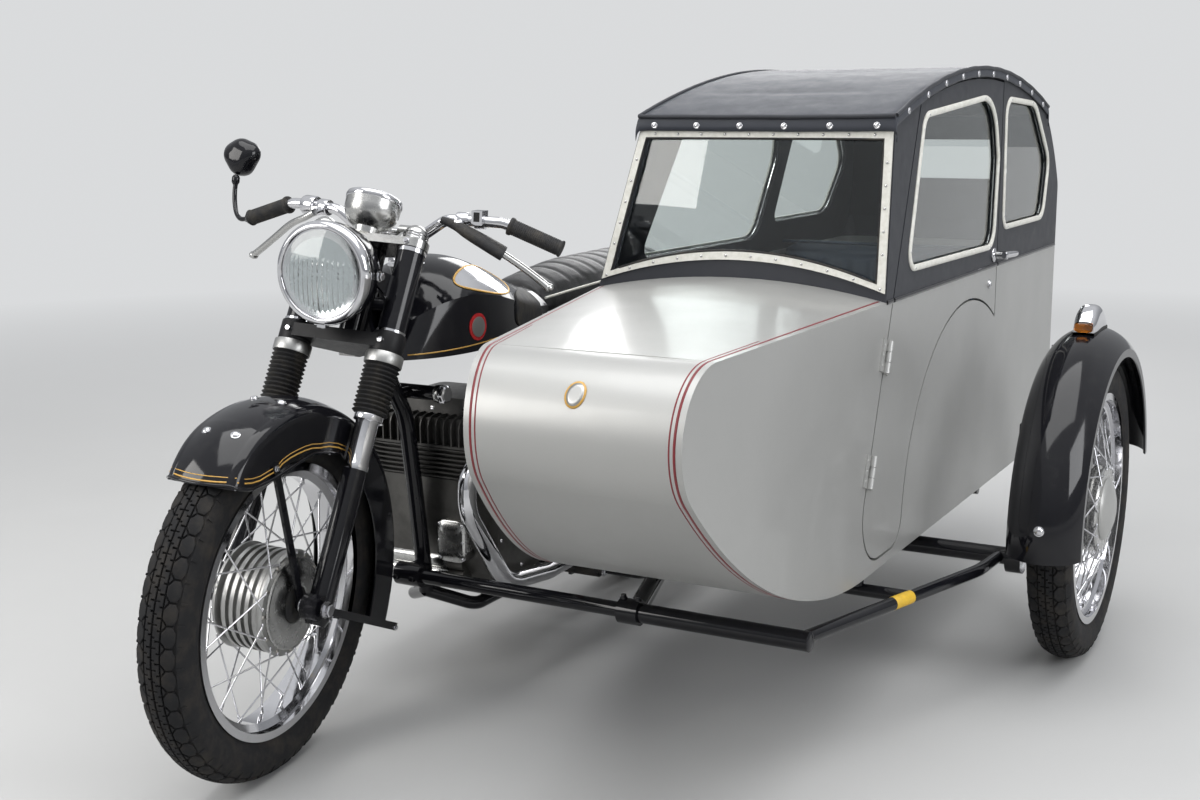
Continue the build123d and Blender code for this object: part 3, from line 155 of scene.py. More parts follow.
class Surface(Nodes):
    """A Principled surface, made of nodes that read the object's own coordinates."""

    def __init__(self, name):
        self.material = bpy.data.materials.new(name)
        self.material.use_nodes = True
        super().__init__(self.material.node_tree)
        self.output = self.new("ShaderNodeOutputMaterial")
        self.shader = self.new("ShaderNodeBsdfPrincipled")
        self.link(self.shader.outputs[0], self.output.inputs[0])
        self.place = self.new("ShaderNodeTexCoord").outputs["Object"]

    def set(self, **sockets):
        for name, value in sockets.items():
            self.link(value, self.shader.inputs[name.replace("_", " ")])
        return self

    def noise(self, scale, detail=3.0, rough=0.55):
        node = self.new("ShaderNodeTexNoise")
        self.link(self.place, node.inputs["Vector"])
        for name, value in (("Scale", scale), ("Detail", detail), ("Roughness", rough), ("Distortion", 0.0)):
            node.inputs[name].default_value = value
        return node.outputs[0]

    def cells(self, scale):
        node = self.new("ShaderNodeTexVoronoi")
        self.link(self.place, node.inputs["Vector"])
        node.inputs["Scale"].default_value = scale
        return node.outputs["Distance"]

    def bump(self, height, strength, distance=0.001, normal=None):
        node = self.new("ShaderNodeBump")
        node.inputs["Strength"].default_value = strength
        node.inputs["Distance"].default_value = distance
        self.link(height, node.inputs["Height"])
        if normal:
            self.link(normal, node.inputs["Normal"])
        self.link(node.outputs[0], self.shader.inputs["Normal"])
        return node.outputs[0]


def gloss_paint(name, colour, second, rough=0.16, dust=(0.3, 0.29, 0.26)):
    s = Surface(name)
    mottle = s.noise(6, 4)
    film = s.spread(s.noise(38, 6, 0.7), 0.0, 0.025, 0.52, 0.8)
    s.set(Base_Color=s.mix(film, s.mix(mottle, colour, second), dust))
    s.set(Roughness=s.spread(s.noise(22, 5), rough - 0.05, rough + 0.05, 0.3, 0.7))
    s.set(Coat_Weight=0.15, Coat_Roughness=0.03, Specular_IOR_Level=0.3)
    s.bump(s.noise(420, 2), 0.04, 0.0006)
    return s.material


def metallic_paint(name, colour, second):
    s = Surface(name)
    flake = s.spread(s.cells(2600), 0.0, 1.0, 0.0, 0.9)
    tone = s.mix(s.noise(2.2, 4), colour, second)
    s.set(Base_Color=s.mix(s.spread(flake, 0.0, 0.22), tone, tuple(min(1, c * 1.5) for c in colour)))
    s.set(Metallic=0.5)
    s.set(Roughness=s.spread(s.noise(9, 5), 0.4, 0.48, 0.3, 0.7))
    s.set(Coat_Weight=0.22, Coat_Roughness=0.1)
    s.bump(s.noise(3.2, 2), 0.1, 0.004)
    return s.material


def bright_metal(name, colour, rough, grain=0.0, stain=(0.25, 0.23, 0.2), stain_share=0.25):
    s = Surface(name)
    marks = s.spread(s.noise(46, 6, 0.7), 0.0, stain_share, 0.55, 0.85)
    s.set(Base_Color=s.mix(marks, colour, stain), Metallic=1.0)
    s.set(Roughness=s.spread(s.noise(60, 4), rough, rough + 0.09, 0.35, 0.75))
    if grain:
        s.bump(s.noise(900, 3), grain, 0.0005)
    return s.material


def cast_metal(name, colour, rough=0.5):
    s = Surface(name)
    grime = s.spread(s.noise(14, 6, 0.65), 0.0, 0.75, 0.42, 0.78)
    s.set(Base_Color=s.mix(grime, colour, tuple(c * 0.35 for c in colour)), Metallic=0.85)
    s.set(Roughness=s.spread(s.noise(80, 4), rough - 0.1, rough + 0.15))
    s.bump(s.noise(520, 4, 0.6), 0.35, 0.0008)
    return s.material


def rubber(name, colour, rough=0.6, dust=(0.2, 0.17, 0.12), dust_share=0.2):
    s = Surface(name)
    film = s.spread(s.noise(26, 6, 0.7), 0.0, dust_share, 0.45, 0.75)
    s.set(Base_Color=s.mix(film, colour, dust))
    s.set(Roughness=s.spread(s.noise(90, 3), rough - 0.08, rough + 0.12), Specular_IOR_Level=0.22)
    s.bump(s.noise(700, 3), 0.25, 0.0006)
    return s.material


def leathercloth(name, colour, second, rough=0.55, grain=620.0, depth=0.35, sheen=0.15):
    s = Surface(name)
    pebble = s.cells(grain)
    tone = s.mix(s.noise(5, 5), colour, second)
    s.set(Base_Color=s.mix(s.spread(pebble, 0.0, 0.25, 0.1, 0.7), tone, tuple(c * 0.6 for c in colour)))
    s.set(Roughness=s.spread(s.noise(40, 4), rough - 0.08, rough + 0.12))
    s.set(Sheen_Weight=sheen, Sheen_Roughness=0.45, Specular_IOR_Level=0.35)
    first = s.bump(pebble, depth, 0.0007)
    s.bump(s.noise(7, 3), 0.12, 0.004, normal=first)
    return s.material


def window_glass(name, tint):
    s = Surface(name)
    s.set(Base_Color=tint, Transmission_Weight=1.0, IOR=1.45)
    s.set(Roughness=s.spread(s.noise(16, 5, 0.7), 0.0, 0.05, 0.45, 0.8))
    s.bump(s.noise(1.6, 2), 0.03, 0.003)
    return s.material


def plain_line(name, colour, second, rough=0.4, metallic=0.0):
    """Paint or trim in narrow pieces: two near tones, with a fine uneven edge."""
    s = Surface(name)
    s.set(Base_Color=s.mix(s.spread(s.noise(90, 4), 0.0, 1.0, 0.35, 0.7), colour, second), Metallic=metallic)
    s.set(Roughness=s.spread(s.noise(150, 3), rough - 0.08, rough + 0.1))
    s.bump(s.noise(600, 2), 0.1, 0.0004)
    return s.material


black = gloss_paint("black_enamel", (0.004, 0.004, 0.006), (0.008, 0.008, 0.01), 0.1)
silver = metallic_paint("silver_paint", (0.4, 0.4, 0.388), (0.35, 0.35, 0.34))
chrome = bright_metal("chrome_plate", (0.66, 0.66, 0.68), 0.05)
alloy = bright_metal("polished_alloy", (0.5, 0.5, 0.49), 0.22, 0.03, (0.42, 0.41, 0.39), 0.08)
satin_alloy = bright_metal("satin_alloy", (0.42, 0.42, 0.41), 0.36, 0.12)
cast = cast_metal("cast_alloy", (0.13, 0.127, 0.12), 0.42)
fin_metal = cast_metal("fin_metal", (0.1, 0.098, 0.094), 0.5)
steel = bright_metal("plated_steel", (0.42, 0.4, 0.37), 0.32, 0.1, (0.1, 0.07, 0.05), 0.5)
black_rubber = rubber("black_rubber", (0.02, 0.02, 0.021), 0.55)
satin_black = rubber("satin_black", (0.008, 0.008, 0.009), 0.42, (0.05, 0.05, 0.05), 0.08)
tyre_rubber = rubber("tyre_rubber", (0.014, 0.014, 0.015), 0.75, (0.085, 0.07, 0.052), 0.3)
# The roof's cloth is the cabin's charcoal cloth painted lighter: painted sunlight on the top, which faces the sky
sunlit_roof_cloth = leathercloth("charcoal_cloth", (0.04, 0.044, 0.056), (0.03, 0.034, 0.044), 0.5, 900, 0.25, 0.05)
cabin_cloth = leathercloth("cabin_cloth", (0.028, 0.03, 0.037), (0.021, 0.023, 0.029), 0.52, 900, 0.22, 0.05)
seat_black = leathercloth("seat_vinyl", (0.013, 0.013, 0.014), (0.02, 0.02, 0.021), 0.42, 700, 0.4)
seat_blue = leathercloth("blue_vinyl", (0.075, 0.105, 0.155), (0.06, 0.086, 0.13), 0.4, 650, 0.35)
cream_trim = plain_line("cream_trim", (0.72, 0.71, 0.66), (0.6, 0.59, 0.53), 0.45)
gold_line = plain_line("gold_line", (0.62, 0.36, 0.075), (0.52, 0.29, 0.06), 0.38)
maroon_line = plain_line("maroon_line", (0.2, 0.016, 0.022), (0.15, 0.012, 0.017), 0.4)
red_enamel = plain_line("red_enamel", (0.42, 0.016, 0.018), (0.34, 0.012, 0.015), 0.22)
yellow_band = plain_line("yellow_band", (0.7, 0.44, 0.03), (0.58, 0.36, 0.03), 0.5)
clear_glass = window_glass("clear_glass", (0.86, 0.9, 0.89))
red_lens = window_glass("red_lens", (0.55, 0.015, 0.015))
amber_lens = window_glass("amber_lens", (0.5, 0.16, 0.02))


def dress(node, material):
    """A CAD node's own mesh keeps its shape and gets a material."""
    mesh = nodes[node].data
    mesh.materials.clear()
    mesh.materials.append(material)


# The camera of the photograph, solved from the wheels, the ground and the body's straight edges
YAW = radians(28.98)
PITCH = radians(10.82)
ROLL = radians(-0.36)
FOCAL_PX, PHOTO_WIDTH = 1547, 1200
CAMERA_PLACE = (1.851, -2.069, 1.215)
look = Vector((-sin(YAW) * cos(PITCH), cos(YAW) * cos(PITCH), -sin(PITCH)))
right = Vector((cos(YAW), sin(YAW), 0))
up = right.cross(look)
right, up = (
    cos(ROLL) * right + sin(ROLL) * up,
    cos(ROLL) * up - sin(ROLL) * right,
)
camera_data = bpy.data.cameras.new("camera")
camera_data.sensor_width = 36
camera_data.lens = FOCAL_PX / PHOTO_WIDTH * camera_data.sensor_width
camera = bpy.data.objects.new("camera", camera_data)
scene.collection.objects.link(camera)
camera.matrix_world = Matrix.Translation(at(*CAMERA_PLACE)) @ Matrix((right, up, -look)).transposed().to_4x4()
scene.camera = camera

# Floor, light and background: the floor turns into the background far from the object
SEEN = (0.7, 0.71, 0.72)
SKY_LOW, SKY_HIGH, SKY_STRENGTH = (0.3, 0.31, 0.33), (1.0, 1.02, 1.05), 0.74
FLOOR_HALF = 40
FADE_START, FADE_END = 2.4, 7.5

floor_mesh = bpy.data.meshes.new("floor")
corners = [(x * FLOOR_HALF, y * FLOOR_HALF, 0) for x, y in ((-1, -1), (1, -1), (1, 1), (-1, 1))]
floor_mesh.from_pydata(corners, [], [(0, 1, 2, 3)])
floor = bpy.data.objects.new("floor", floor_mesh)
scene.collection.objects.link(floor)
ground = Surface("floor")
ground.set(Base_Color=ground.mix(ground.noise(1.5, 4), (0.47, 0.47, 0.465), (0.44, 0.44, 0.436)), Roughness=0.9)
ground.set(Specular_IOR_Level=0.2)
far_off = ground.new("ShaderNodeVectorMath", operation="LENGTH")
ground.link(ground.place, far_off.inputs[0])
fade = ground.spread(far_off.outputs["Value"], 0.0, 1.0, FADE_START, FADE_END)
paths = ground.new("ShaderNodeLightPath").outputs
direct = ground.either(paths["Is Glossy Ray"], paths["Is Transmission Ray"], paths["Is Camera Ray"])
glow = ground.feed(ground.new("ShaderNodeEmission"), SEEN)
blend = ground.feed(
    ground.new("ShaderNodeMixShader"), ground.sum("MULTIPLY", fade, direct), ground.shader.outputs[0], glow
)
ground.link(blend, ground.output.inputs[0])
floor_mesh.materials.append(ground.material)

scene.world = bpy.data.worlds.new("world")
scene.world.use_nodes = True
sky = Nodes(scene.world.node_tree)
height = sky.new("ShaderNodeSeparateXYZ")
sky.feed(height, sky.new("ShaderNodeTexCoord").outputs["Generated"])
shade = sky.mix(sky.spread(height.outputs["Z"], 0.0, 1.0, -0.1, 0.7), SKY_LOW, SKY_HIGH)
paths = sky.new("ShaderNodeLightPath").outputs
sky.link(sky.feed(
    sky.new("ShaderNodeMixShader"),
    sky.either(paths["Is Camera Ray"], paths["Is Transmission Ray"]),
    sky.feed(sky.new("ShaderNodeBackground"), shade, SKY_STRENGTH),
    sky.feed(sky.new("ShaderNodeBackground"), SEEN, 1.0),
), sky.new("ShaderNodeOutputWorld").inputs[0])


def lamp(name, place, target, size, power, colour=(1, 1, 1)):
    data = bpy.data.lights.new(name, "AREA")
    data.shape = "RECTANGLE"
    data.size, data.size_y = size
    data.energy = power
    data.color = colour
    thing = bpy.data.objects.new(name, data)
    thing.location = place
    thing.rotation_euler = (Vector(target) - Vector(place)).to_track_quat("-Z", "Y").to_euler()
    scene.collection.objects.link(thing)


lamp("overhead", (0.4, -0.6, 4.2), (0, 0, 0.5), (4.5, 3.5), 150)
lamp("front_left", (-2.6, -3.6, 2.4), (0, -0.4, 0.5), (2.2, 2.2), 92, (1, 0.98, 0.95))
lamp("side", (4.4, -0.8, 2.2), (0, 0.2, 0.6), (2.4, 2.0), 84, (0.97, 0.98, 1))
lamp("rear", (-1.5, 4.4, 2.6), (0, 0.4, 0.6), (2.6, 2.0), 70)

# Making pieces

def around(count):
    """Angles all the way round, evenly spaced."""
    return [2 * pi * k / count for k in range(count)]


def squared(a, power):
    """Cosine and sine for an outline that is the squarer the smaller the power."""
    return [copysign(abs(value) ** power, value) for value in (cos(a), sin(a))]


def stretch(low, high, count):
    """Evenly spaced numbers from low to high."""
    return [low + (high - low) * k / count for k in range(count + 1)]


def piece(name, mesh, body, material, smooth=True):
    """A new object with one material, riding on a body."""
    thing = bpy.data.objects.new(name, mesh)
    scene.collection.objects.link(thing)
    mesh.materials.append(material)
    if smooth:
        mesh.shade_smooth()
    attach(thing, body)
    return thing


class Shape:
    """A mesh gathered from simple solids, all in the row frame."""

    def __init__(self):
        self.points = []
        self.faces = []

    def add(self, points, faces):
        start = len(self.points)
        self.points += [tuple(p) for p in points]
        self.faces += [tuple(start + i for i in face) for face in faces]

    def rings(self, rings, closed=True, capped=True):
        """A skin over rings of points of equal count."""
        count = len(rings[0])
        points = [p for ring in rings for p in ring]
        faces = []
        wrap = count if closed else count - 1
        for r in range(len(rings) - 1):
            for i in range(wrap):
                j = (i + 1) % count
                faces.append((r * count + i, r * count + j, (r + 1) * count + j, (r + 1) * count + i))
        if capped:
            faces.append(tuple(reversed(range(count))))
            faces.append(tuple((len(rings) - 1) * count + i for i in range(count)))
        self.add(points, faces)

    def turned(self, centre, axis, profile, steps=24):
        """A turned form: profile pairs of radius and distance along the axis."""
        side, across = frame_of(axis)
        axis = Vector(axis).normalized()
        rings = []
        for radius, along in profile:
            rings.append([
                Vector(centre) + axis * along + (side * cos(a) + across * sin(a)) * radius
                for a in around(steps)
            ])
        self.rings(rings)
        return self

    def tube(self, path, radius, steps=10, flat=1.0, closed=False):
        """A round bar that follows a path."""
        path = [Vector(p) for p in path]
        rings = []
        side = None
        last = len(path) - 1
        for i, p in enumerate(path):
            if closed:
                along = path[(i + 1) % len(path)] - path[i - 1]
            else:
                along = path[min(i + 1, last)] - path[max(i - 1, 0)]
            along.normalize()
            if side is None:
                side, across = frame_of(along)
            side = (side - along * side.dot(along)).normalized()
            across = along.cross(side)
            rings.append([
                p + side * cos(a) * radius + across * sin(a) * radius * flat
                for a in around(steps)
            ])
        if closed:
            rings.append(rings[0])
        self.rings(rings, capped=not closed)

    def ribbon(self, path, ups, width, thick):
        """A thin raised line along a path, standing off its surface along `ups`."""
        path = [Vector(p) for p in path]
        last = len(path) - 1
        rings = []
        for i, p in enumerate(path):
            along = (path[min(i + 1, last)] - path[max(i - 1, 0)]).normalized()
            out = Vector(ups[i]).normalized()
            across = out.cross(along).normalized() * (width / 2)
            rings.append([p + across * a + out * thick * b for a, b in ((-1, -1), (1, -1), (1, 1), (-1, 1))])
        self.rings(rings)

    def box(self, centre, x, y, z):
        """A block with half-edge vectors x, y and z."""
        c, x, y, z = Vector(centre), Vector(x), Vector(y), Vector(z)
        points = [c + sx * x + sy * y + sz * z for sz in (-1, 1) for sy in (-1, 1) for sx in (-1, 1)]
        self.add(points, [(0, 2, 3, 1), (4, 5, 7, 6), (0, 1, 5, 4), (2, 6, 7, 3), (0, 4, 6, 2), (1, 3, 7, 5)])

    def bolt(self, place, axis, radius, height, sides=6):
        """A bolt head with a washer and chamfered corners."""
        self.turned(place, axis, [(radius * 1.25, -height * 0.2), (radius * 1.25, height * 0.12)], 16)
        self.turned(place, axis, [
            (radius * share, height * rise) for share, rise in ((1, 0.1), (1, 0.85), (0.86, 1), (0.5, 1.02))
        ], sides)

    def stud(self, place, axis, radius, height, steps=12):
        """A domed stud or rivet head."""
        self.turned(place, axis, [
            (radius * share, height * rise)
            for share, rise in ((1, -0.3), (1, 0.15), (0.85, 0.6), (0.45, 0.93), (0.08, 1))
        ], steps)

    def mesh(self, name):
        mesh = bpy.data.meshes.new(name)
        mesh.from_pydata(self.points, [], self.faces)
        mesh.update()
        work = bmesh.new()
        work.from_mesh(mesh)
        bmesh.ops.recalc_face_normals(work, faces=work.faces)
        work.to_mesh(mesh)
        work.free()
        return mesh

    def make(self, name, body, material, slot, smooth_angle=35):
        thing = piece(name, self.mesh(name), body, material)
        if smooth_angle is not None:
            thing.data.set_sharp_from_angle(angle=radians(smooth_angle))
        return thing


def frame_of(axis):
    """Two directions across an axis."""
    axis = Vector(axis).normalized()
    guide = Vector((0, 0, 1)) if abs(axis.z) < 0.9 else Vector((0, 1, 0))
    side = guide.cross(axis).normalized()
    return side, axis.cross(side)


def tree_of(*names):
    """A search tree over CAD nodes, in the row frame."""
    points, faces = [], []
    for name in names:
        mesh = nodes[name].data
        start = len(points)
        points += [v.co.copy() for v in mesh.vertices]
        faces += [tuple(start + i for i in p.vertices) for p in mesh.polygons]
    return BVHTree.FromPolygons(points, faces)


def smooth_path(points, count):
    """A curve through points, sampled evenly in each run."""
    points = [Vector(p) for p in points]
    out = []
    for i in range(len(points) - 1):
        a = points[max(i - 1, 0)]
        b, c = points[i], points[i + 1]
        d = points[min(i + 2, len(points) - 1)]
        for k in range(count):
            t = k / count
            out.append(0.5 * (
                2 * b + (c - a) * t + (2 * a - 5 * b + 4 * c - d) * t * t + (3 * b - a - 3 * c + d) * t ** 3
            ))
    out.append(points[-1])
    return out

# Wheels: block tread, spoke nipples and valves

WHEELS = {
    # name: (x, y, turns with the fork)
    "front": (0.0, 0.0, True),
    "rear": (0.0, WHEELBASE, False),
    "sidecar": (TRACK, SIDE_AXLE_Y, False),
}
PITCHES = 54
CROWN = 0.0624
CROWN_MID = TYRE_R - CROWN
CROWN_HALF = 0.0394
WALL_LOW = (0.0367, 0.257)
WALL_MID = (0.046, 0.295)
WALL_TOP = (0.0368, 0.323)


def circle_through(a, b, c):
    """Centre and radius of the circle through three points."""
    ax, ay, bx, by, cx, cy = *a, *b, *c
    d = 2 * (ax * (by - cy) + bx * (cy - ay) + cx * (ay - by))
    ux = ((ax**2 + ay**2) * (by - cy) + (bx**2 + by**2) * (cy - ay) + (cx**2 + cy**2) * (ay - by)) / d
    uy = ((ax**2 + ay**2) * (cx - bx) + (bx**2 + by**2) * (ax - cx) + (cx**2 + cy**2) * (bx - ax)) / d
    return ux, uy, hypot(ax - ux, ay - uy)


wall_x, wall_r, wall_bend = circle_through(WALL_LOW, WALL_MID, WALL_TOP)
wall_start = atan2(WALL_TOP[1] - wall_r, WALL_TOP[0] - wall_x)


def tyre_skin(s, depth):
    """Across and out from the axle, at a distance s round the section and a depth under the rubber."""
    side = -1 if s < 0 else 1
    run = abs(s)
    if run <= CROWN_HALF:
        a = run / CROWN
        return side * (CROWN - depth) * sin(a), CROWN_MID + (CROWN - depth) * cos(a)
    a = wall_start - (run - CROWN_HALF) / wall_bend
    return side * (wall_x + (wall_bend - depth) * cos(a)), wall_r + (wall_bend - depth) * sin(a)


TREAD = (
    # corners as (share of a pitch, distance round the section in mm), phase, depth of the groove in mm
    ([(-.46, 1.6), (.01, 1.6), (.01, 6.5), (.17, 6.5), (.17, 14.5), (-.22, 14.5), (-.22, 9.5), (-.46, 9.5)], 0.0, 5.2),
    ([(.09, 1.6), (.47, 1.6), (.47, 9.5), (.71, 9.5), (.71, 14.5), (.25, 14.5), (.25, 6.5), (.09, 6.5)], 0.0, 5.2),
    (
        [(-.45, 25.5), (-.17, 17.5), (.17, 17.5), (.45, 25.5), (.45, 36), (.2, 41.5), (-.2, 41.5), (-.45, 36)],
        0.0, 5.2,
    ),
    ([(-.19, 17.5), (.19, 17.5), (.03, 22.2), (-.03, 22.2)], 0.5, 5.2),
    ([(-.055, 43), (.055, 43), (.075, 54), (.02, 57), (-.045, 54)], 0.5, 1.0),
)


def tread_block(shape, place, corners, phase, depth, index, mirror):
    """One block, or on the side walls a shallow wedge, its top smaller than its foot."""
    count = len(corners)
    middle_u = sum(u for u, s in corners) / count
    middle_s = sum(s for u, s in corners) / count
    rise = -0.0008 if depth < 2 else 0.0
    shape.rings([[
        place(
            *tyre_skin((middle_s + (s - middle_s) * shrink) * mirror * MM, level),
            (index + phase + (middle_u + (u - middle_u) * shrink) * mirror) / PITCHES * 2 * pi,
        )
        for u, s in corners
    ] for shrink, level in ((1.06, depth * MM), (1.0, rise + 0.0008), (0.9, rise))])


def wheel_place(name):
    """A function from (across, out from the axle, turn) to the row frame."""
    x0, y0, turned_fork = WHEELS[name]
    move = STEER if turned_fork else Matrix.Identity(4)

    def place(x, r, turn):
        return move @ at(x0 + x, y0 + r * cos(turn), TYRE_R + r * sin(turn))

    return place


CASING = (
    [tyre_skin(s * MM, 0.0) for s in (-112, -108, -100, -96, -93, -88, -80, -72, -64, -58)]
    + [tyre_skin(s * MM, 0.0012) for s in (-50, -44)]
    + [tyre_skin(s * MM, 0.005) for s in (-38, -30, -20, -10, 0, 10, 20, 30, 38)]
    + [tyre_skin(s * MM, 0.0012) for s in (44, 50)]
    + [tyre_skin(s * MM, 0.0) for s in (58, 64, 72, 80, 88, 93, 96, 100, 108, 112)]
)
CASING_BACK = [
    (0.0364, 0.2435), (0.028, 0.2435), (0.028, 0.262), (0.037, 0.289), (0.028, 0.316), (0.0, 0.324),
    (-0.028, 0.316), (-0.037, 0.289), (-0.028, 0.262), (-0.028, 0.2435), (-0.0364, 0.2435),
]
CASING_STEPS = 144


def wall_rib(index, point):
    """Two fine raised rings on each side wall."""
    x, r = point
    return (x + copysign(0.0007, x), r) if index in (2, 4, 29, 31) else point


SPOKES = 40
SPOKE_LEAN = 36
RIM_SEAT = (0.008, 0.2295)
FLANGE = (0.0542, 0.095)
VALVE_ANGLE = 1.9

for name in WHEELS:
    body = f"{name}_wheel"
    place = wheel_place(name)
    tyre = Shape()
    outline = [wall_rib(i, p) for i, p in enumerate(CASING)] + CASING_BACK
    loops = [[place(x, r, a) for x, r in outline] for a in around(CASING_STEPS)]
    tyre.rings(loops + loops[:1], capped=False)
    for corners, phase, depth in TREAD:
        for index in range(PITCHES):
            for mirror in (1, -1) if corners[0][1] > 0 else (1,):
                tread_block(tyre, place, corners, phase, depth, index, mirror)
    thing = tyre.make(f"{name}_block_tyre", body, tyre_rubber, "tyre_rubber", 30)
    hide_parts(f"{name}_tyre")

    bright = Shape()
    for index, rim_angle in enumerate(around(SPOKES)):
        side = 1 if index % 2 else -1
        hub_angle = rim_angle - radians(SPOKE_LEAN if index % 4 < 2 else -SPOKE_LEAN)
        head = place(side * RIM_SEAT[0], RIM_SEAT[1], rim_angle)
        foot = place(side * FLANGE[0], FLANGE[1], hub_angle)
        bright.turned(head, foot - head, [
            (0.0042, -0.001), (0.0042, 0.0012), (0.0028, 0.003), (0.0026, 0.013), (0.0018, 0.0142),
        ], 8)
        outward = (place(1, 0.09, hub_angle) - place(0, 0.09, hub_angle)) * side
        bright.stud(place(side * 0.0525, 0.0925, hub_angle - 0.02), outward, 0.0032, 0.0024, 8)
    valve = place(0.0, 0.2255, VALVE_ANGLE)
    bright.turned(valve, place(0, 0.1, VALVE_ANGLE) - valve, [
        (0.006, 0), (0.006, 0.003), (0.003, 0.004), (0.003, 0.02), (0.0042, 0.021), (0.0042, 0.032), (0.003, 0.034),
    ], 10)
    bright.make(f"{name}_nipples", body, chrome, "chrome_plate", 40)

# Front hub: polished plate, black centre, rivets and bolts; then the sidecar's hub cap

front = wheel_place("front")
FORK_SIDE = steered_dir(1, 0, 0)
Shape().turned(front(0.0, 0, 0), FORK_SIDE, [
    (0.0845, 0.053), (0.085, 0.056), (0.0825, 0.0578), (0.08, 0.0574), (0.077, 0.0578), (0.068, 0.06),
    (0.056, 0.0614), (0.042, 0.062), (0.035, 0.0616), (0.0335, 0.06),
], 72).make("front_hub_plate", "front_wheel", alloy, "polished_alloy", 60)
Shape().turned(front(0.0, 0, 0), FORK_SIDE, [
    (0.034, 0.059), (0.034, 0.0632), (0.03, 0.0648), (0.013, 0.0648),
], 40).make("front_hub_centre", "front_wheel", black_rubber, "black_rubber")
rivets = Shape()
for turn in around(12):
    rivets.stud(front(0.0518, 0.0895, turn), FORK_SIDE, 0.0042, 0.0028)
for turn in around(5):
    rivets.bolt(front(-0.0515, 0.052, turn + 0.3), -FORK_SIDE, 0.005, 0.005)
rivets.make("front_hub_rivets", "front_wheel", steel, "steel_parts")

Shape().turned(at(TRACK, SIDE_AXLE_Y, TYRE_R), (1, 0, 0), [
    (0.066, 0.049), (0.069, 0.0525), (0.067, 0.056), (0.06, 0.0605), (0.048, 0.0655), (0.033, 0.07), (0.018, 0.0728),
    (0.006, 0.0738), (0.001, 0.074),
], 64).make("sidecar_hub_cap", "sidecar_wheel", silver, "silver_paint", 60)

# Fork: polished tops of the sliders, collars, nuts and pinch bolts

FORK_UP = steered_dir(*fork_dir(0, 0, 1))
FORK_BACK = steered_dir(*fork_dir(0, 1, 0))
sleeves, silver_rings, small = Shape(), Shape(), Shape()
for side in (-1, 1):
    leg = side * LEG_X
    foot = fork(leg, LEG_BACK, 0)
    sleeves.turned(foot, FORK_UP, [
        (0.0235, 0.262), (0.0242, 0.265), (0.0242, 0.272), (0.0222, 0.276), (0.0222, 0.352), (0.0238, 0.3565),
        (0.0278, 0.3568), (0.0282, 0.3595), (0.0282, 0.3665), (0.0272, 0.3688),
    ], 48)
    silver_rings.turned(foot, FORK_UP, [
        (0.03, 0.4662), (0.0362, 0.4666), (0.0366, 0.4685), (0.0366, 0.4868), (0.0356, 0.4882), (0.03, 0.4882),
    ], 48)
    small.turned(foot, FORK_UP, [(0.0272, 0.5284), (0.0288, 0.5292), (0.0288, 0.5335), (0.0272, 0.5345)], 40)
    small.turned(foot, FORK_UP, [(0.0272, 0.69), (0.0286, 0.6908), (0.0286, 0.6985), (0.0272, 0.6993)], 40)
    small.bolt(fork(leg, -0.0105, 0.508), -FORK_BACK, 0.0058, 0.006)
    small.bolt(fork(leg, -0.0115, 0.708), -FORK_BACK, 0.005, 0.005)
    small.bolt(steered(side * 0.1253, 0, TYRE_R), FORK_SIDE * side, 0.0125, 0.011)
    for up in (0.012, -0.012):
        small.stud(fork(leg, -0.0045, up), -FORK_BACK, 0.0055, 0.005)
    for up in (0.006, 0.011, 0.016):
        ridge = foot + FORK_UP * (0.736 + up - 0.022)
        small.turned(ridge, FORK_UP, [(0.0248, 0), (0.0256, 0.0012), (0.0248, 0.0024)], 40)
sleeves.make("fork_sleeves", "steering", chrome, "chrome_plate", 40)
silver_rings.make("gaiter_collars", "steering", satin_alloy, "polished_alloy", 40)
small.make("fork_bolts", "steering", chrome, "chrome_plate", 40)

# Lower yoke: a satin black skin over the solid one


def hull_ring(up, grow, steps=28):
    """The outline round the yoke's three bosses, in the fork's plane."""
    points = sorted({
        (x + (r + grow) * cos(a), back + (r + grow) * sin(a)) for x, back, r in YOKE for a in around(steps)
    })
    chain = []
    for run in (points, points[::-1]):
        part = []
        for p in run:
            while len(part) > 1:
                (ax, ay), (bx, by) = part[-2:]
                if (bx - ax) * (p[1] - ay) - (by - ay) * (p[0] - ax) > 0:
                    break
                part.pop()
            part.append(p)
        chain += part[:-1]
    return [fork(x, back, up) for x, back in chain]


YOKE = ((-LEG_X, LEG_BACK, 0.03), (0, 0.05, 0.034), (LEG_X, LEG_BACK, 0.03))
yoke_skin = Shape()
yoke_skin.rings([hull_ring(0.4952, 0.0008), hull_ring(0.5208, 0.0008)])
for side in (-1, 1):
    yoke_skin.turned(fork(side * LEG_X, LEG_BACK, 0), FORK_UP, [
        (0.029, 0.4884), (0.0315, 0.4888), (0.032, 0.4905), (0.032, 0.5255), (0.0312, 0.5278), (0.029, 0.5282),
    ], 48)
yoke_skin.make("lower_yoke_enamel", "steering", satin_black, "black_enamel", 35)

# Headlamp: shell, rim, reflector, bulb and fluted glass

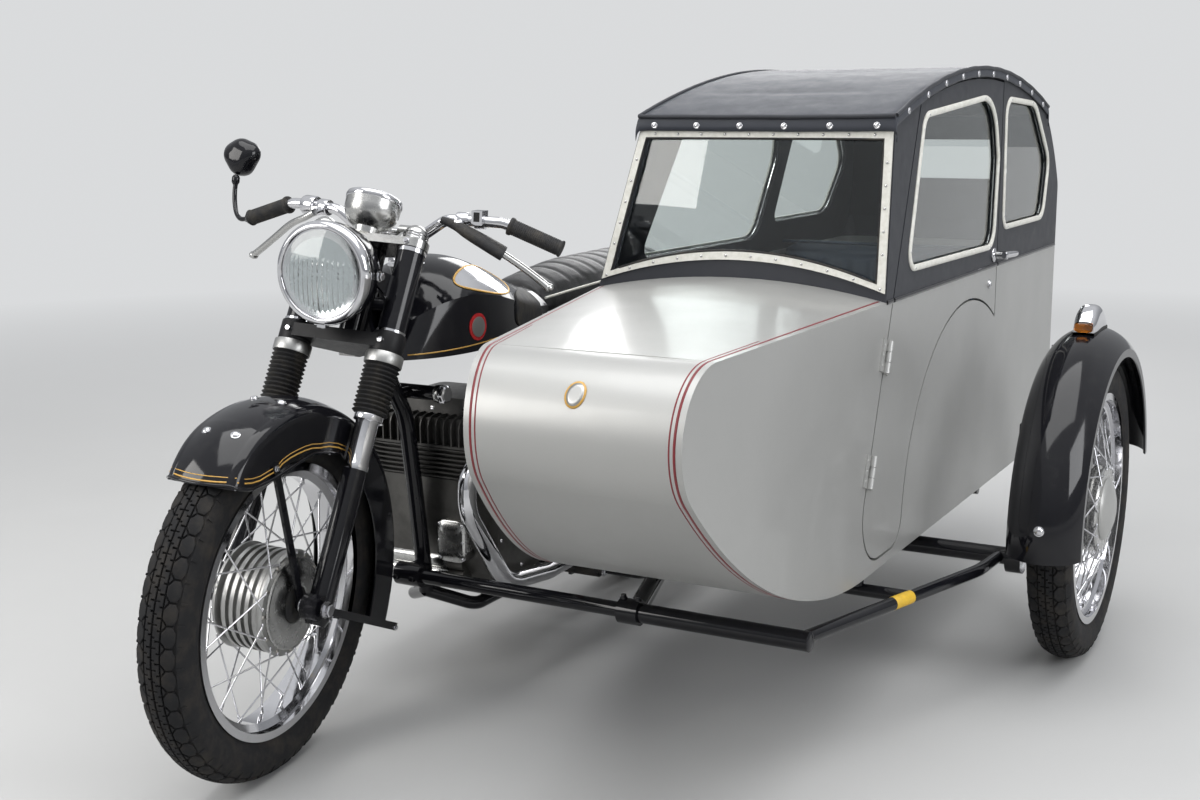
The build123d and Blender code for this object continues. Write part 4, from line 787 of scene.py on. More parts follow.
LAMP_AXIS = steered_dir(0, 1, 0)
LAMP_UP = steered_dir(0, 0, 1)
LAMP = steered(0, HEADLAMP_Y, HEADLAMP_Z)
shell = Shape()
shell.turned(LAMP, LAMP_AXIS, [
    (0.086, 0.012), (0.0955, 0.012), (0.0965, 0.018), (0.0955, 0.03), (0.0925, 0.046), (0.0865, 0.064),
    (0.0775, 0.082), (0.065, 0.099), (0.05, 0.113), (0.033, 0.1225), (0.016, 0.128), (0.002, 0.13),
    (0.002, 0.12), (0.03, 0.114), (0.06, 0.094), (0.08, 0.062), (0.087, 0.03),
], 72)
for ear in ((-0.0915, -0.08), (0.08, 0.0915)):
    shell.rings([
        [steered(x, 0.218 + 0.008 * cos(a), HEADLAMP_Z + 0.008 * sin(a)) for a in around(16)] for x in ear
    ])
thing = shell.make("headlamp_bowl", "steering", black, "black_enamel", 40)
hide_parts("headlamp_shell")

rim = Shape()
rim.turned(LAMP, LAMP_AXIS, [
    (0.0835, 0.0), (0.084, -0.003), (0.0868, -0.0048), (0.0905, -0.004), (0.0945, -0.001), (0.0972, 0.004),
    (0.0981, 0.01), (0.0976, 0.016), (0.0962, 0.0185), (0.0945, 0.0185), (0.0945, 0.014), (0.087, 0.012),
    (0.085, 0.004),
], 96)
clip = LAMP + LAMP_AXIS * 0.009
rim.box(clip - LAMP_UP * 0.0985, FORK_SIDE * 0.009, LAMP_AXIS * 0.007, LAMP_UP * 0.003)
rim.bolt(clip - LAMP_UP * 0.1005, -LAMP_UP, 0.0035, 0.003)
rim.make("headlamp_rim", "steering", chrome, "chrome_plate", 50)

reflector = Shape()
bowl = [(0.0852, 0.004)] + [
    (0.084 * sqrt(t), 0.006 + 0.062 * (1 - t)) for t in (1, .9, .75, .6, .45, .3, .18, .08, .02)
]
reflector.turned(LAMP, LAMP_AXIS, bowl + [(0.01, 0.072), (0.045, 0.058), (0.075, 0.03), (0.0865, 0.008)], 72)
reflector.turned(LAMP, LAMP_AXIS, [
    (0.013, 0.062), (0.013, 0.04), (0.0125, 0.026), (0.009, 0.022), (0.002, 0.021),
], 24)
reflector.make("headlamp_reflector", "steering", chrome, "chrome_plate", 50)

glass = Shape()
LENS_R = 0.0845


def lens_ring(share, back):
    """A ring of the lens; its back has vertical flutes that fade out near the top."""
    ring = []
    for a in around(168):
        x, z = LENS_R * share * cos(a), LENS_R * share * sin(a)
        y = HEADLAMP_Y - 0.0135 + 0.0145 * share**2
        if back:
            y += 0.0042 - 0.0026 * (1 - abs(sin(x * 300))) * min(1, max(0, (0.03 - z) / 0.012))
        ring.append(steered(x, y, HEADLAMP_Z + z))
    return ring


shares = [i / 30 for i in range(1, 31)]
glass.rings([lens_ring(s, False) for s in shares] + [lens_ring(s, True) for s in reversed(shares)])
thing = glass.make("headlamp_glass", "steering", clear_glass, "lamp_glass", 60)
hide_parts("headlamp_lens")

lamp_bolts = Shape()
for side in (-1, 1):
    lamp_bolts.bolt(steered(side * 0.098, 0.214, HEADLAMP_Z), FORK_SIDE * side, 0.0085, 0.008)
lamp_bolts.make("headlamp_bolts", "steering", chrome, "chrome_plate", 40)

# Speedometer: bezel, dial with plain numbers, needle and glass

DIAL = fork(0, 0.007, 0.716)
Shape().turned(DIAL, FORK_UP, [
    (0.0475, 0.07), (0.0475, 0.0728), (0.001, 0.0728),
], 64).make("speedometer_dial", "steering", black_rubber, "black_rubber")
Shape().turned(DIAL, FORK_UP, [
    (0.047, 0.0735), (0.049, 0.0772), (0.0515, 0.0782), (0.0545, 0.0765), (0.0562, 0.072), (0.056, 0.066),
    (0.0545, 0.064), (0.05, 0.07),
], 64).make("speedometer_bezel", "steering", chrome, "chrome_plate", 50)


def dial_out(angle):
    """A direction over the dial, its angle counted as a reader sees it."""
    a = radians(angle)
    return -FORK_SIDE * cos(a) - FORK_BACK * sin(a)


marks = Shape()
for k in range(13):
    out = dial_out(225 - 22.5 * k)
    centre = DIAL + FORK_UP * 0.073 + out * 0.0425
    marks.box(centre, out * (0.002 if k % 2 else 0.0032), FORK_UP.cross(out) * 0.0006, FORK_UP * 0.0003)
needle = (FORK_SIDE * 0.75 + FORK_BACK * 0.66).normalized()
marks.rings([
    [
        DIAL + FORK_UP * (0.0738 + h) + needle * reach + needle.cross(FORK_UP) * w * half
        for w, h in ((-1, 0), (1, 0), (1, 0.0006), (-1, 0.0006))
    ]
    for reach, half in ((0, 0.0016), (0.036, 0.0004))
])
marks.make("speedometer_marks", "steering", cream_trim, "silver_paint", None)
dial_turn = Matrix((-FORK_SIDE, -FORK_BACK, FORK_UP)).transposed().to_4x4()
for k in range(7):
    curve = bpy.data.curves.new(f"dial_number_{k}", "FONT")
    curve.body = str(k * 20)
    curve.size = 0.0088
    curve.align_x = curve.align_y = "CENTER"
    curve.extrude = 0.0002
    writing = bpy.data.objects.new(f"dial_number_{k}", curve)
    number = bpy.data.meshes.new_from_object(writing)
    number.transform(Matrix.Translation(DIAL + FORK_UP * 0.0732 + dial_out(225 - 45 * k) * 0.0325) @ dial_turn)
    bpy.data.objects.remove(writing)
    number.materials.clear()
    piece(f"dial_number_{k}", number, "steering", cream_trim, False)
Shape().turned(DIAL, FORK_UP, [
    (0.0475, 0.0752), (0.0475, 0.0768), (0.03, 0.079), (0.001, 0.0798), (0.001, 0.0784), (0.03, 0.0774),
], 48).make("speedometer_glass", "steering", clear_glass, "clear_glass", 60)

# Handlebar: grips, levers, rubber covers and the switch block

BAR_BEND = Vector((0.122, 0.432, 1.003))
GRIP_START = Vector((0.236, 0.45, 1.005))
BAR_END = Vector((0.35, 0.47, 0.964))
LEVER_TIP = Vector((0.336, 0.455, 0.888))
GRIP_RUN = (BAR_END - GRIP_START).normalized()
BAR_RUN = (GRIP_START - BAR_BEND).normalized()
grips, levers, covers, fittings = Shape(), Shape(), Shape(), Shape()
for side in (-1, 1):
    def hand(p):
        return steered(p.x * side, p.y, p.z)

    def hand_dir(x, y, z):
        return steered_dir(x * side, y, z)

    end, run = hand(BAR_END), hand_dir(*GRIP_RUN)
    profile = [(0.0112, -0.11), (0.0175, -0.109), (0.0182, -0.106), (0.0176, -0.103), (0.0152, -0.1)]
    for fold in range(24):
        along = -0.098 + fold * 0.004
        profile += [(0.0158, along), (0.015, along + 0.002)]
    profile += [(0.015, -0.002), (0.0165, 0.0), (0.0172, 0.0022), (0.016, 0.0038), (0.004, 0.0042)]
    grips.turned(end, run, profile, 32)
    perch = BAR_BEND + BAR_RUN * 0.034
    bar_dir = hand_dir(*BAR_RUN)
    fittings.turned(hand(perch), bar_dir, [
        (0.0113, -0.012), (0.0155, -0.012), (0.0165, -0.009), (0.0165, 0.009), (0.0155, 0.012), (0.0113, 0.012),
    ], 32)
    pivot = perch + Vector((0.004, -0.034, -0.008))
    fittings.tube([hand(perch + Vector((0, -0.01, -0.004))), hand(pivot)], 0.0085, 16)
    fittings.bolt(hand(pivot + Vector((0, 0, 0.006))), hand_dir(0, 0.1, 1), 0.006, 0.006)
    path = smooth_path([hand(p) for p in (
        pivot, Vector((0.18, 0.404, 0.984)), Vector((0.22, 0.414, 0.966)), Vector((0.27, 0.436, 0.934)),
        Vector((0.308, 0.449, 0.908)), LEVER_TIP,
    )], 6)
    levers.tube(path, 0.0092, 16, flat=0.75)
    levers.turned(path[-1], hand_dir(0.3, 0.1, -0.8), [
        (0.003, -0.008), (0.0085, -0.004), (0.01, 0.0), (0.0085, 0.005), (0.002, 0.0085),
    ], 16)
    rim_path = smooth_path([hand(p) for p in (
        perch + Vector((-0.028, -0.036, 0.002)), pivot, Vector((0.184, 0.406, 0.984)), Vector((0.226, 0.418, 0.962)),
        Vector((0.25, 0.428, 0.948)),
    )], 5)
    if side == 1:
        loops = []
        for i, p in enumerate(rim_path):
            share = i / (len(rim_path) - 1)
            along = (rim_path[min(i + 1, len(rim_path) - 1)] - rim_path[max(i - 1, 0)]).normalized()
            flat_dir = hand_dir(0, 1, 0.1)
            flat_dir = (flat_dir - along * flat_dir.dot(along)).normalized()
            thick_dir = along.cross(flat_dir)
            wide = 0.0075 + 0.015 * sin(min(1, share * 1.15) * pi * 0.5) ** 2
            thick = 0.0068 + 0.0062 * sin(min(1, share * 1.2) * pi * 0.5)
            loops.append([
                p + flat_dir * cos(a) * wide + thick_dir * sin(a) * thick for a in around(20)
            ])
        covers.rings(loops)
    knob = hand(perch + BAR_RUN * 0.036)
    if side == 1:
        back_dir, up_dir = steered_dir(0, 1, 0), steered_dir(0, 0, 1)
        fittings.box(knob + shift_of(0, -0.006, 0.008), bar_dir * 0.011, back_dir * 0.013, up_dir * 0.014)
        fittings.turned(knob, bar_dir, [(0.0113, -0.01), (0.0152, -0.01), (0.0152, 0.01), (0.0113, 0.01)], 28)
        covers.box(knob + shift_of(0, -0.0195, 0.01), bar_dir * 0.0055, back_dir * 0.0016, up_dir * 0.009)
    else:
        fittings.turned(knob, bar_dir, [
            (0.0113, -0.016), (0.0185, -0.016), (0.02, -0.012), (0.02, 0.012), (0.0185, 0.016), (0.0113, 0.016),
        ], 32)
thing = grips.make("hand_grips", "steering", black_rubber, "black_rubber", 40)
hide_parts("hand_controls")
levers.make("hand_levers", "steering", alloy, "polished_alloy", 50)
covers.make("lever_cover", "steering", black_rubber, "black_rubber", 50)
fittings.make("bar_fittings", "steering", chrome, "chrome_plate", 40)

# Mirror: a smooth shell, its curved arm and the glass set in its back

MIRROR_CORNERS = [(0, 0.054, 0.03), (-0.054, -0.034, 0.024), (0.006, -0.054, 0.03), (0.054, -0.026, 0.026)]


def rounded(corners, steps=7, run=5):
    """A closed outline through corners (a, b, radius), evenly enough spaced for a band."""
    places = [Vector(corner[:2]) for corner in corners]
    bends = []
    for i, here in enumerate(places):
        radius = corners[i][2]
        before, after = places[i - 1] - here, places[(i + 1) % len(places)] - here
        half = before.angle(after) / 2
        reach_in = radius / tan(half)
        middle = here + (before.normalized() + after.normalized()).normalized() * radius / sin(half)
        start, end = (here + way.normalized() * reach_in for way in (before, after))
        first = atan2(start.y - middle.y, start.x - middle.x)
        sweep = atan2(end.y - middle.y, end.x - middle.x) - first
        sweep = (sweep + pi) % (2 * pi) - pi
        turns = [first + sweep * k / steps for k in range(steps + 1)]
        bends.append((start, end, [middle + Vector((cos(t), sin(t))) * radius for t in turns]))
    out = []
    for (_, end, arc), (following, _, _) in zip(bends, bends[1:] + bends[:1]):
        out += arc + [end.lerp(following, k / run) for k in range(1, run)]
    return out


mirror_outline = rounded(MIRROR_CORNERS)


def mirror_ring(share, y):
    return [steered(-0.416 - p.x * share, y, 1.07 - p.y * share) for p in mirror_outline]


mirror_shell = Shape()
mirror_shell.rings([mirror_ring(s, y) for s, y in (
    (0.9, 0.5375), (0.965, 0.5385), (0.995, 0.5365), (1.0, 0.532), (0.985, 0.526), (0.93, 0.5195), (0.84, 0.5135),
    (0.7, 0.5082), (0.5, 0.5045), (0.28, 0.5025), (0.06, 0.5018),
)])
arm_path = smooth_path([steered(*p) for p in (
    (-0.352, 0.4705, 0.963), (-0.368, 0.472, 0.959), (-0.386, 0.478, 0.958), (-0.402, 0.488, 0.968),
    (-0.413, 0.498, 0.988), (-0.418, 0.505, 1.01), (-0.418, 0.508, 1.028), (-0.42, 0.512, 1.045),
)], 6)
mirror_shell.tube(arm_path, 0.005, 14)
mirror_shell.turned(steered(-0.35, 0.47, 0.964), steered_dir(-0.93, 0.16, -0.33), [
    (0.0145, -0.002), (0.015, 0.002), (0.012, 0.01), (0.008, 0.014), (0.0052, 0.02),
], 24)
mirror_shell.turned(steered(-0.419, 0.51, 1.036), steered_dir(0, 0.16, 1), [
    (0.0052, -0.012), (0.0085, -0.006), (0.0085, 0.004), (0.006, 0.008),
], 20)
thing = mirror_shell.make("mirror_body", "steering", black, "black_enamel", 45)
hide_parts("mirror")
mirror_glass = Shape()
mirror_glass.rings([mirror_ring(0.9, 0.5372), mirror_ring(0.9, 0.5386), mirror_ring(0.88, 0.5391)])
mirror_glass.make("mirror_glass", "steering", chrome, "chrome_plate", 40)

# Lines and badges are laid on the surfaces by casting rays on them

def touch(tree, origin, direction):
    """Where a ray meets a surface, and the surface's outward direction there."""
    place, normal = tree.ray_cast(origin, direction)[:2]
    if place is None:
        return None
    if normal.dot(direction) > 0:
        normal = -normal
    return place, normal


def lay_line(shape, tree, rays, width, thick=0.0004):
    """A painted line along the points that rays find."""
    found = [touch(tree, origin, direction) for origin, direction in rays]
    found = [hit for hit in found if hit]
    shape.ribbon([p + n * thick * 0.4 for p, n in found], [n for p, n in found], width, thick)


def lay_patch(shape, tree, centre, axis, u, v, outline, lift, rounds=5, crown=0.0):
    """A thin plate with any outline, laid on a surface from the side that axis points to."""
    axis, u, v = (Vector(way).normalized() for way in (axis, u, v))
    tops, feet = [], []
    for share in stretch(0, 1, rounds)[1:]:
        top, foot = [], []
        for a, b in outline:
            start = centre + axis * 0.15 + u * a * share + v * b * share
            place, normal = touch(tree, start, -axis) or (start - axis * 0.15, axis)
            top.append(place + normal * (lift + crown * (1 - share**2)))
            foot.append(place - normal * 0.0006)
        tops.append(top)
        feet.append(foot)
    shape.rings(tops + feet[::-1])
    return tops[-1]


def oval(half_long, half_high, count=48, egg=0.0):
    """An oval outline; egg makes its far end fuller."""
    return [
        (half_long * cos(a), half_high * sin(a) * (1 + egg * cos(a)))
        for a in around(count)
    ]


# Front mudguard: double line along the lip, rolled edge, chrome bolts and the stays' nuts

guard_tree = tree_of("front_mudguard")
GUARD_LINE = [
    (0.15, 0.59), (0.122, 0.602), (0.09, 0.611), (0.059, 0.615), (0.032, 0.62), (0.009, 0.621), (-0.015, 0.62),
    (-0.039, 0.618), (-0.063, 0.613), (-0.086, 0.607), (-0.108, 0.602), (-0.131, 0.599), (-0.155, 0.6),
    (-0.175, 0.604), (-0.19, 0.608),
]


def guard_rays(line, rise, front_z):
    """Rays along one side of the mudguard's lip, round its front and back along the other side."""
    left, away = (
        [(steered(side * 0.2, y, z + rise), steered_dir(-side, 0, 0)) for y, z in line] for side in (1, -1)
    )
    front_rays = [
        (steered(0.4 * cos(a), -0.196 - 0.4 * sin(a), front_z), steered_dir(-cos(a), sin(a), 0))
        for a in stretch(0, pi, 30)[1:-1]
    ]
    return left + front_rays + away[::-1]


guard_lines = Shape()
for rise, width in ((0.0, 0.0026), (0.0075, 0.0015)):
    lay_line(guard_lines, guard_tree, guard_rays(GUARD_LINE, rise, 0.609 + rise), width)
lip = Shape()
hits = [touch(guard_tree, *ray) for ray in guard_rays(GUARD_LINE[1:], -0.0105, 0.6035)]
lip.tube([hit[0] + hit[1] * 0.0006 for hit in hits if hit], 0.0032, 10)
lip.make("mudguard_rolled_edge", "steering", black, "black_enamel", 60)
guard_lines.make("mudguard_lines", "steering", gold_line, "black_enamel", None)

guard_bolts = Shape()
STAY_X = 0.0765
for x, y in ((-0.029, -0.141), (0.029, -0.141), (-0.029, 0.0), (0.029, 0.0)):
    place, normal = touch(guard_tree, steered(x, y, 1.0), steered_dir(0, 0, -1))
    guard_bolts.turned(place, normal, [
        (0.0085, -0.002), (0.0085, 0.0008), (0.007, 0.0012), (0.0066, 0.003), (0.0045, 0.0045), (0.0008, 0.005),
    ], 20)
for side in (-1, 1):
    outward = steered_dir(side, 0, 0)
    for y, z in ((-0.088, 0.61), (0.35, 0.175)):
        guard_bolts.bolt(steered(side * STAY_X, y, z), outward, 0.0048, 0.0045)
    axle_end = steered(side * STAY_X, 0, TYRE_R)
    guard_bolts.turned(axle_end, outward, [(0.015, -0.001), (0.015, 0.004), (0.0135, 0.006)], 24)
guard_bolts.make("mudguard_bolts", "steering", chrome, "chrome_plate", 40)

# Tank: chrome panels, round badges, gold lines, filler cap and knee grips

tank_tree = tree_of("fuel_tank")
panels, gilt, badge_red, badge_metal, knees = Shape(), Shape(), Shape(), Shape(), Shape()
for side in (-1, 1):
    out = Vector((side * 0.78, 0, 0.62))
    high = Vector((-side * 0.62, 0, 0.78))
    centre = at(side * 0.112, 0.588, 0.866)
    edge = lay_patch(panels, tank_tree, centre, out, (0, 1, 0), high, oval(0.108, 0.04, 64, 0.18), 0.0009, 6)
    border = [touch(tank_tree, p + out * 0.1, -out.normalized()) for p in edge + edge[:2]]
    gilt.ribbon([p + n * 0.0009 for p, n in border], [n for p, n in border], 0.0042, 0.0006)
    middle = at(side * 0.13, 0.512, 0.777)
    level, rise = (0, 1, 0), (0, 0, 1)
    sideways = (side, 0, 0)
    for shape, radius, lift, dome in ((badge_red, 0.0275, 0.0016, 0.0), (badge_metal, 0.0205, 0.0026, 0.0008)):
        lay_patch(shape, tank_tree, middle, sideways, level, rise, oval(radius, radius), lift, 4, dome)
    lay_line(gilt, tank_tree, [
        (at(side * 0.3, 0.352 + 0.0163 * k, 0.7375 + 0.0005 * k), Vector((-side, 0, 0))) for k in range(31)
    ], 0.0026)
    pad = [(0.07 * across, 0.036 * high) for across, high in (squared(a, 0.6) for a in around(48))]
    lay_patch(knees, tank_tree, at(side * 0.12, 0.745, 0.787), sideways, level, rise, pad, 0.0035, 7, 0.0035)
panels.make("tank_chrome_panels", "outfit", chrome, "chrome_plate", 60)
gilt.make("tank_lines", "outfit", gold_line, "black_enamel", None)
badge_red.make("tank_badge_rings", "outfit", red_enamel, "red_lens", 50)
badge_metal.make("tank_badge_discs", "outfit", satin_alloy, "polished_alloy", 50)
knees.make("knee_grips", "outfit", black_rubber, "black_rubber", 50)

cap = Shape()
cap.turned(at(0, 0.47, 0), (0, 0, 1), [
    (0.0345, 0.898), (0.0375, 0.899), (0.038, 0.903), (0.0355, 0.905), (0.0355, 0.9175), (0.034, 0.9205),
    (0.026, 0.9232), (0.012, 0.9246), (0.001, 0.925),
], 40)
for a in around(16):
    out = Vector((cos(a), sin(a), 0))
    cap.stud(at(0, 0.47, 0.911) + out * 0.0352, out, 0.0035, 0.0018, 8)
cap.make("filler_cap", "outfit", chrome, "chrome_plate", 50)

# Engine: cover screws, polished tubes, hexagon nut, head nuts, plugs and port rings

screws, polished, plugs = Shape(), Shape(), Shape()
PLUNGER_X = 0.116
for x, z in ((-0.028, -0.036), (0.028, -0.036), (-0.028, 0.036), (0.028, 0.036), (-0.029, 0), (0.029, 0)):
    screws.stud(at(0.074 + x, 0.496, 0.324 + z), (0, -1, 0), 0.0042, 0.003)
for z in (0.232, 0.264, 0.296):
    polished.rings([
        [at(x, 0.55 + 0.0188 * cos(a), z + 0.0188 * sin(a)) for a in around(28)] for x in (-0.1055, 0.036)
    ])
    screws.bolt(at(-0.1055, 0.55, z), (-1, 0, 0), 0.009, 0.007)
polished.turned(at(0.066, 0.474, 0.64), (1, 0, 0), [
    (0.0186, 0), (0.019, 0.001), (0.019, 0.0095), (0.0186, 0.0105),
], 32)
screws.turned(at(0.078, 0.474, 0.64), (1, 0, 0), [
    (0.0205, 0), (0.0205, 0.002), (0.0196, 0.0022), (0.0196, 0.01), (0.016, 0.0128), (0.006, 0.013),
], 6)
for x, side, cover in (
    (0.149, 1, (
        (0.65, 0.244), (0.572, 0.316), (0.606, 0.358), (0.65, 0.388), (0.74, 0.392), (0.82, 0.392),
        (0.868, 0.352), (0.872, 0.3), (0.822, 0.248), (0.735, 0.242),
    )),
    (-0.145, -1, (
        (0.568, 0.262), (0.536, 0.33), (0.568, 0.398), (0.64, 0.402), (0.712, 0.398), (0.744, 0.33),
        (0.712, 0.262), (0.64, 0.256),
    )),
):
    for y, z in cover:
        screws.stud(at(x, y, z), (side, 0, 0), 0.0045, 0.0032)
for x, side in ((-0.072, -1), (0.072, 1)):
    for y in (0.556, 0.704):
        screws.bolt(at(x * 1.28, y, 0.584), (0, 0, 1), 0.0065, 0.008)
        plugs.turned(at(x * 1.55, y, 0.566), (side * 0.5, 0, 1), [
            (0.0085, 0), (0.0085, 0.01), (0.0062, 0.012), (0.0056, 0.03), (0.004, 0.031), (0.0036, 0.036),
        ], 12)
for x in (-0.084, 0, 0.084):
    for y in (0.5495, 0.7105):
        screws.bolt(at(x * 0.95, y, 0.5905), (0, 0, 1), 0.0055, 0.006)
for side in (-1, 1):
    for k in range(4):
        polished.turned(at(side * (0.1465 + 0.0042 * k), 0.54, 0.5), (side, 0, 0), [
            (0.0195, 0), (0.0265, 0.0006), (0.0265, 0.0016), (0.0195, 0.0022),
        ], 32)
    polished.turned(at(side * 0.186, 1.01, 0.232), (0, 1, 0.04), [
        (0.0215, -0.01), (0.0245, -0.009), (0.0245, 0.009), (0.0215, 0.01),
    ], 32)
    polished.turned(at(side * PLUNGER_X, WHEELBASE, 0), (0, 0, 1), [
        (0.0305, 0.3065), (0.0315, 0.308), (0.0315, 0.316), (0.0305, 0.3175),
    ], 36)
    polished.turned(at(side * PLUNGER_X, WHEELBASE, 0), (0, 0, 1), [
        (0.0252, 0.4605), (0.0264, 0.462), (0.0264, 0.4685), (0.0252, 0.47),
    ], 36)
    screws.bolt(at(side * 0.1605, WHEELBASE, TYRE_R), (side, 0, 0), 0.0135, 0.01)
    screws.bolt(at(side * 0.237, 0.86, 0.182), (side, 0, 0), 0.008, 0.005)
screws.make("engine_fasteners", "outfit", chrome, "chrome_plate", 40)
polished.make("engine_bright_rings", "outfit", alloy, "polished_alloy", 40)
plugs.make("spark_plugs", "outfit", cream_trim, "steel_parts", 40)

front_cover = Shape()
front_cover.rings([
    [at(0.074 + 0.036 * grow * across, y, 0.324 + 0.045 * grow * high) for across, high in (
        squared(a, 0.42) for a in around(56)
    )]
    for grow, y in (
        (1.006, 0.522), (1.006, 0.5015), (0.985, 0.4972), (0.93, 0.4955), (0.86, 0.495), (0.83, 0.4938),
        (0.5, 0.4932), (0.05, 0.4931),
    )
])
front_cover.make("crankcase_front_cover", "outfit", alloy, "polished_alloy", 40)

# Sidecar: coach lines and a plain medallion on the nose

NOSE_R = 0.12
NOSE_MID = (0.0, 0.718)
BELLY_R = 1.1034
BELLY_MID = (0.6954, 1.4134)
nose_tree = tree_of("bonnet")


def nose_run():
    """The nose from the cowl forward and down to the floor: y, z and the outward direction."""
    run = [(0.765 - 0.0255 * k, WAIST_Z, 0.0, 1.0) for k in range(30)]
    for middle, radius, turns in (
        (NOSE_MID, NOSE_R, stretch(90, 225, 27)), (BELLY_MID, BELLY_R, stretch(225, 269.5, 25)[1:]),
    ):
        for a in map(radians, turns):
            ny, nz = cos(a), sin(a)
            run.append((middle[0] + radius * ny, middle[1] + radius * nz, ny, nz))
    return run


def inner_edge(y):
    return INNER_X + (NOSE_INNER_X - INNER_X) / (SCREEN_Y + 0.12) * (SCREEN_Y - y)


coach = Shape()
for inset, width, first in ((0.0125, 0.0042, 0), (0.0212, 0.0024, 22)):
    for outer in (True, False):
        rays = []
        for y, z, ny, nz in nose_run()[first:]:
            x = BODY_X - inset if outer else inner_edge(y) + inset
            rays.append((at(x, y + ny * 0.08, z + nz * 0.08), Vector((0, -ny, -nz))))
        lay_line(coach, nose_tree, rays, width, 0.00025)
coach.make("coach_lines", "outfit", maroon_line, "silver_paint", None)

medallion, medallion_field = Shape(), Shape()
NOSE_FACE = (at(0.717, -0.098, 0.79), (0, -0.72, 0.69), (1, 0, 0), (0, 0.69, 0.72))
disc = [(0.0175 * sin(a), 0.0225 * cos(a)) for a in around(32)]
lay_patch(medallion, nose_tree, *NOSE_FACE, disc, 0.0016, 3)
lay_patch(medallion_field, nose_tree, *NOSE_FACE, [(x * 0.82, z * 0.85) for x, z in disc], 0.0022, 3)
medallion.make("nose_medallion", "outfit", gold_line, "polished_alloy", None)
medallion_field.make("nose_medallion_field", "outfit", satin_alloy, "polished_alloy", None)

# Waist moulding on the body, round its tail and on the door

DOOR_FRONT_Y = 0.817
DOOR_REAR_Y = 1.574


def half_round(shape, path, out, radius=0.0048):
    """A half-round moulding along a path, its flat side on the panel."""
    rings = []
    last = len(path) - 1
    for i, p in enumerate(path):
        normal = Vector(out[i] if isinstance(out, list) else out).normalized()
        along = (path[min(i + 1, last)] - path[max(i - 1, 0)]).normalized()
        across = normal.cross(along).normalized()
        rings.append([
            p + across * cos(a) * radius + normal * (sin(a) * radius * 0.8 - 0.0004)
            for a in stretch(0, pi, 8)
        ])
    shape.rings(rings)


moulding, door_moulding = Shape(), Shape()
ROAD = (1, 0, 0)
for run in ((SCREEN_Y + 0.004, 0.79, DOOR_FRONT_Y - 0.006), (DOOR_REAR_Y + 0.007, 1.7, 1.9, 2.16)):
    half_round(moulding, [at(BODY_X, y, WAIST_Z) for y in run], ROAD)
tail, tail_out = [], []
for x, first in ((BODY_X - 0.07, 0), (INNER_X + 0.07, 90)):
    for a in map(radians, stretch(first, first + 90, 12)):
        tail_out.append(Vector((cos(a), sin(a), 0)))
        tail.append(at(x, 2.165, WAIST_Z) + tail_out[-1] * 0.0668)
half_round(moulding, tail, tail_out)
half_round(moulding, [at(INNER_X, y, WAIST_Z) for y in (2.16, 1.6, 1.2, SCREEN_Y + 0.004)], (-1, 0, 0))
moulding.make("waist_moulding", "outfit", black, "black_enamel", 60)
run = (DOOR_FRONT_Y + 0.002, 1.0, 1.3, DOOR_REAR_Y - 0.002)
half_round(door_moulding, [at(BODY_X, y, WAIST_Z) for y in run], ROAD)
door_moulding.make("door_waist_moulding", "door", black, "black_enamel", 60)

# Window rims: rounded cream bands with small screws, on both sides

FRONT_WINDOW = [
    (0.896, 0.052, 0.034), (0.978, 0.352, 0.04), (1.496, 0.392, 0.12), (1.55, 0.25, 0.06), (1.536, 0.046, 0.05),
]
REAR_WINDOW = [
    (1.616, 0.084, 0.034), (1.604, 0.384, 0.04), (1.88, 0.372, 0.11), (2.052, 0.23, 0.06), (2.01, 0.084, 0.05),
]


def band(shape, outline, place, normal, width, height):
    """A raised band centred on a closed flat outline."""
    count = len(outline)
    section = [
        (-0.5, -0.0012), (-0.5, 0.35 * height), (-0.36, 0.85 * height), (-0.16, height), (0.16, height),
        (0.36, 0.85 * height), (0.5, 0.35 * height), (0.5, -0.0012),
    ]
    rings = []
    for i, p in enumerate(outline):
        along = (outline[(i + 1) % count] - outline[i - 1]).normalized()
        across = Vector((-along.y, along.x))
        rings.append([place(p + across * width * a) + normal * h for a, h in section])
    shape.rings(rings + rings[:1], capped=False)


def road_place(p):
    return at(BODY_X, p.x, WAIST_Z + p.y)


LEAN_SLOPE = (HEADER_INNER_X - INNER_X) / (HEADER[1] - WAIST_Z)
LEAN_UP = Vector((LEAN_SLOPE, 0, 1)).normalized()
BIKE_OUT = Vector((-1, 0, LEAN_SLOPE)).normalized()


def bike_place(p):
    return at(INNER_X, p.x, WAIST_Z) + LEAN_UP * p.y


for name, corners, place, normal, body in (
    ("door_window_rim", FRONT_WINDOW, road_place, Vector((1, 0, 0)), "door"),
    ("rear_window_rim", REAR_WINDOW, road_place, Vector((1, 0, 0)), "outfit"),
    ("inner_front_window_rim", FRONT_WINDOW, bike_place, BIKE_OUT, "outfit"),
    ("inner_rear_window_rim", REAR_WINDOW, bike_place, BIKE_OUT, "outfit"),
):
    trim, heads = Shape(), Shape()
    outline = rounded(corners)
    band(trim, outline, place, normal, 0.013, 0.0042)
    trim.make(name, body, cream_trim, "silver_paint", 40)
    for k in range(0, len(outline), 6):
        heads.stud(place(outline[k]) + normal * 0.004, normal, 0.0024, 0.0012, 10)
    heads.make(f"{name}_screws", body, chrome, "chrome_plate", 50)

# Windscreen frame: rivets and rubber edge

SCREEN_LEAN = atan2(HEADER[0] - SCREEN_Y, HEADER[1] - WAIST_Z)
SCREEN_UP = Vector((0, sin(SCREEN_LEAN), cos(SCREEN_LEAN)))
SCREEN_OUT = Vector((0, -cos(SCREEN_LEAN), sin(SCREEN_LEAN)))
SCREEN_H = hypot(HEADER[0] - SCREEN_Y, HEADER[1] - WAIST_Z)
LEAN_STEP = (HEADER_INNER_X - INNER_X) / SCREEN_H


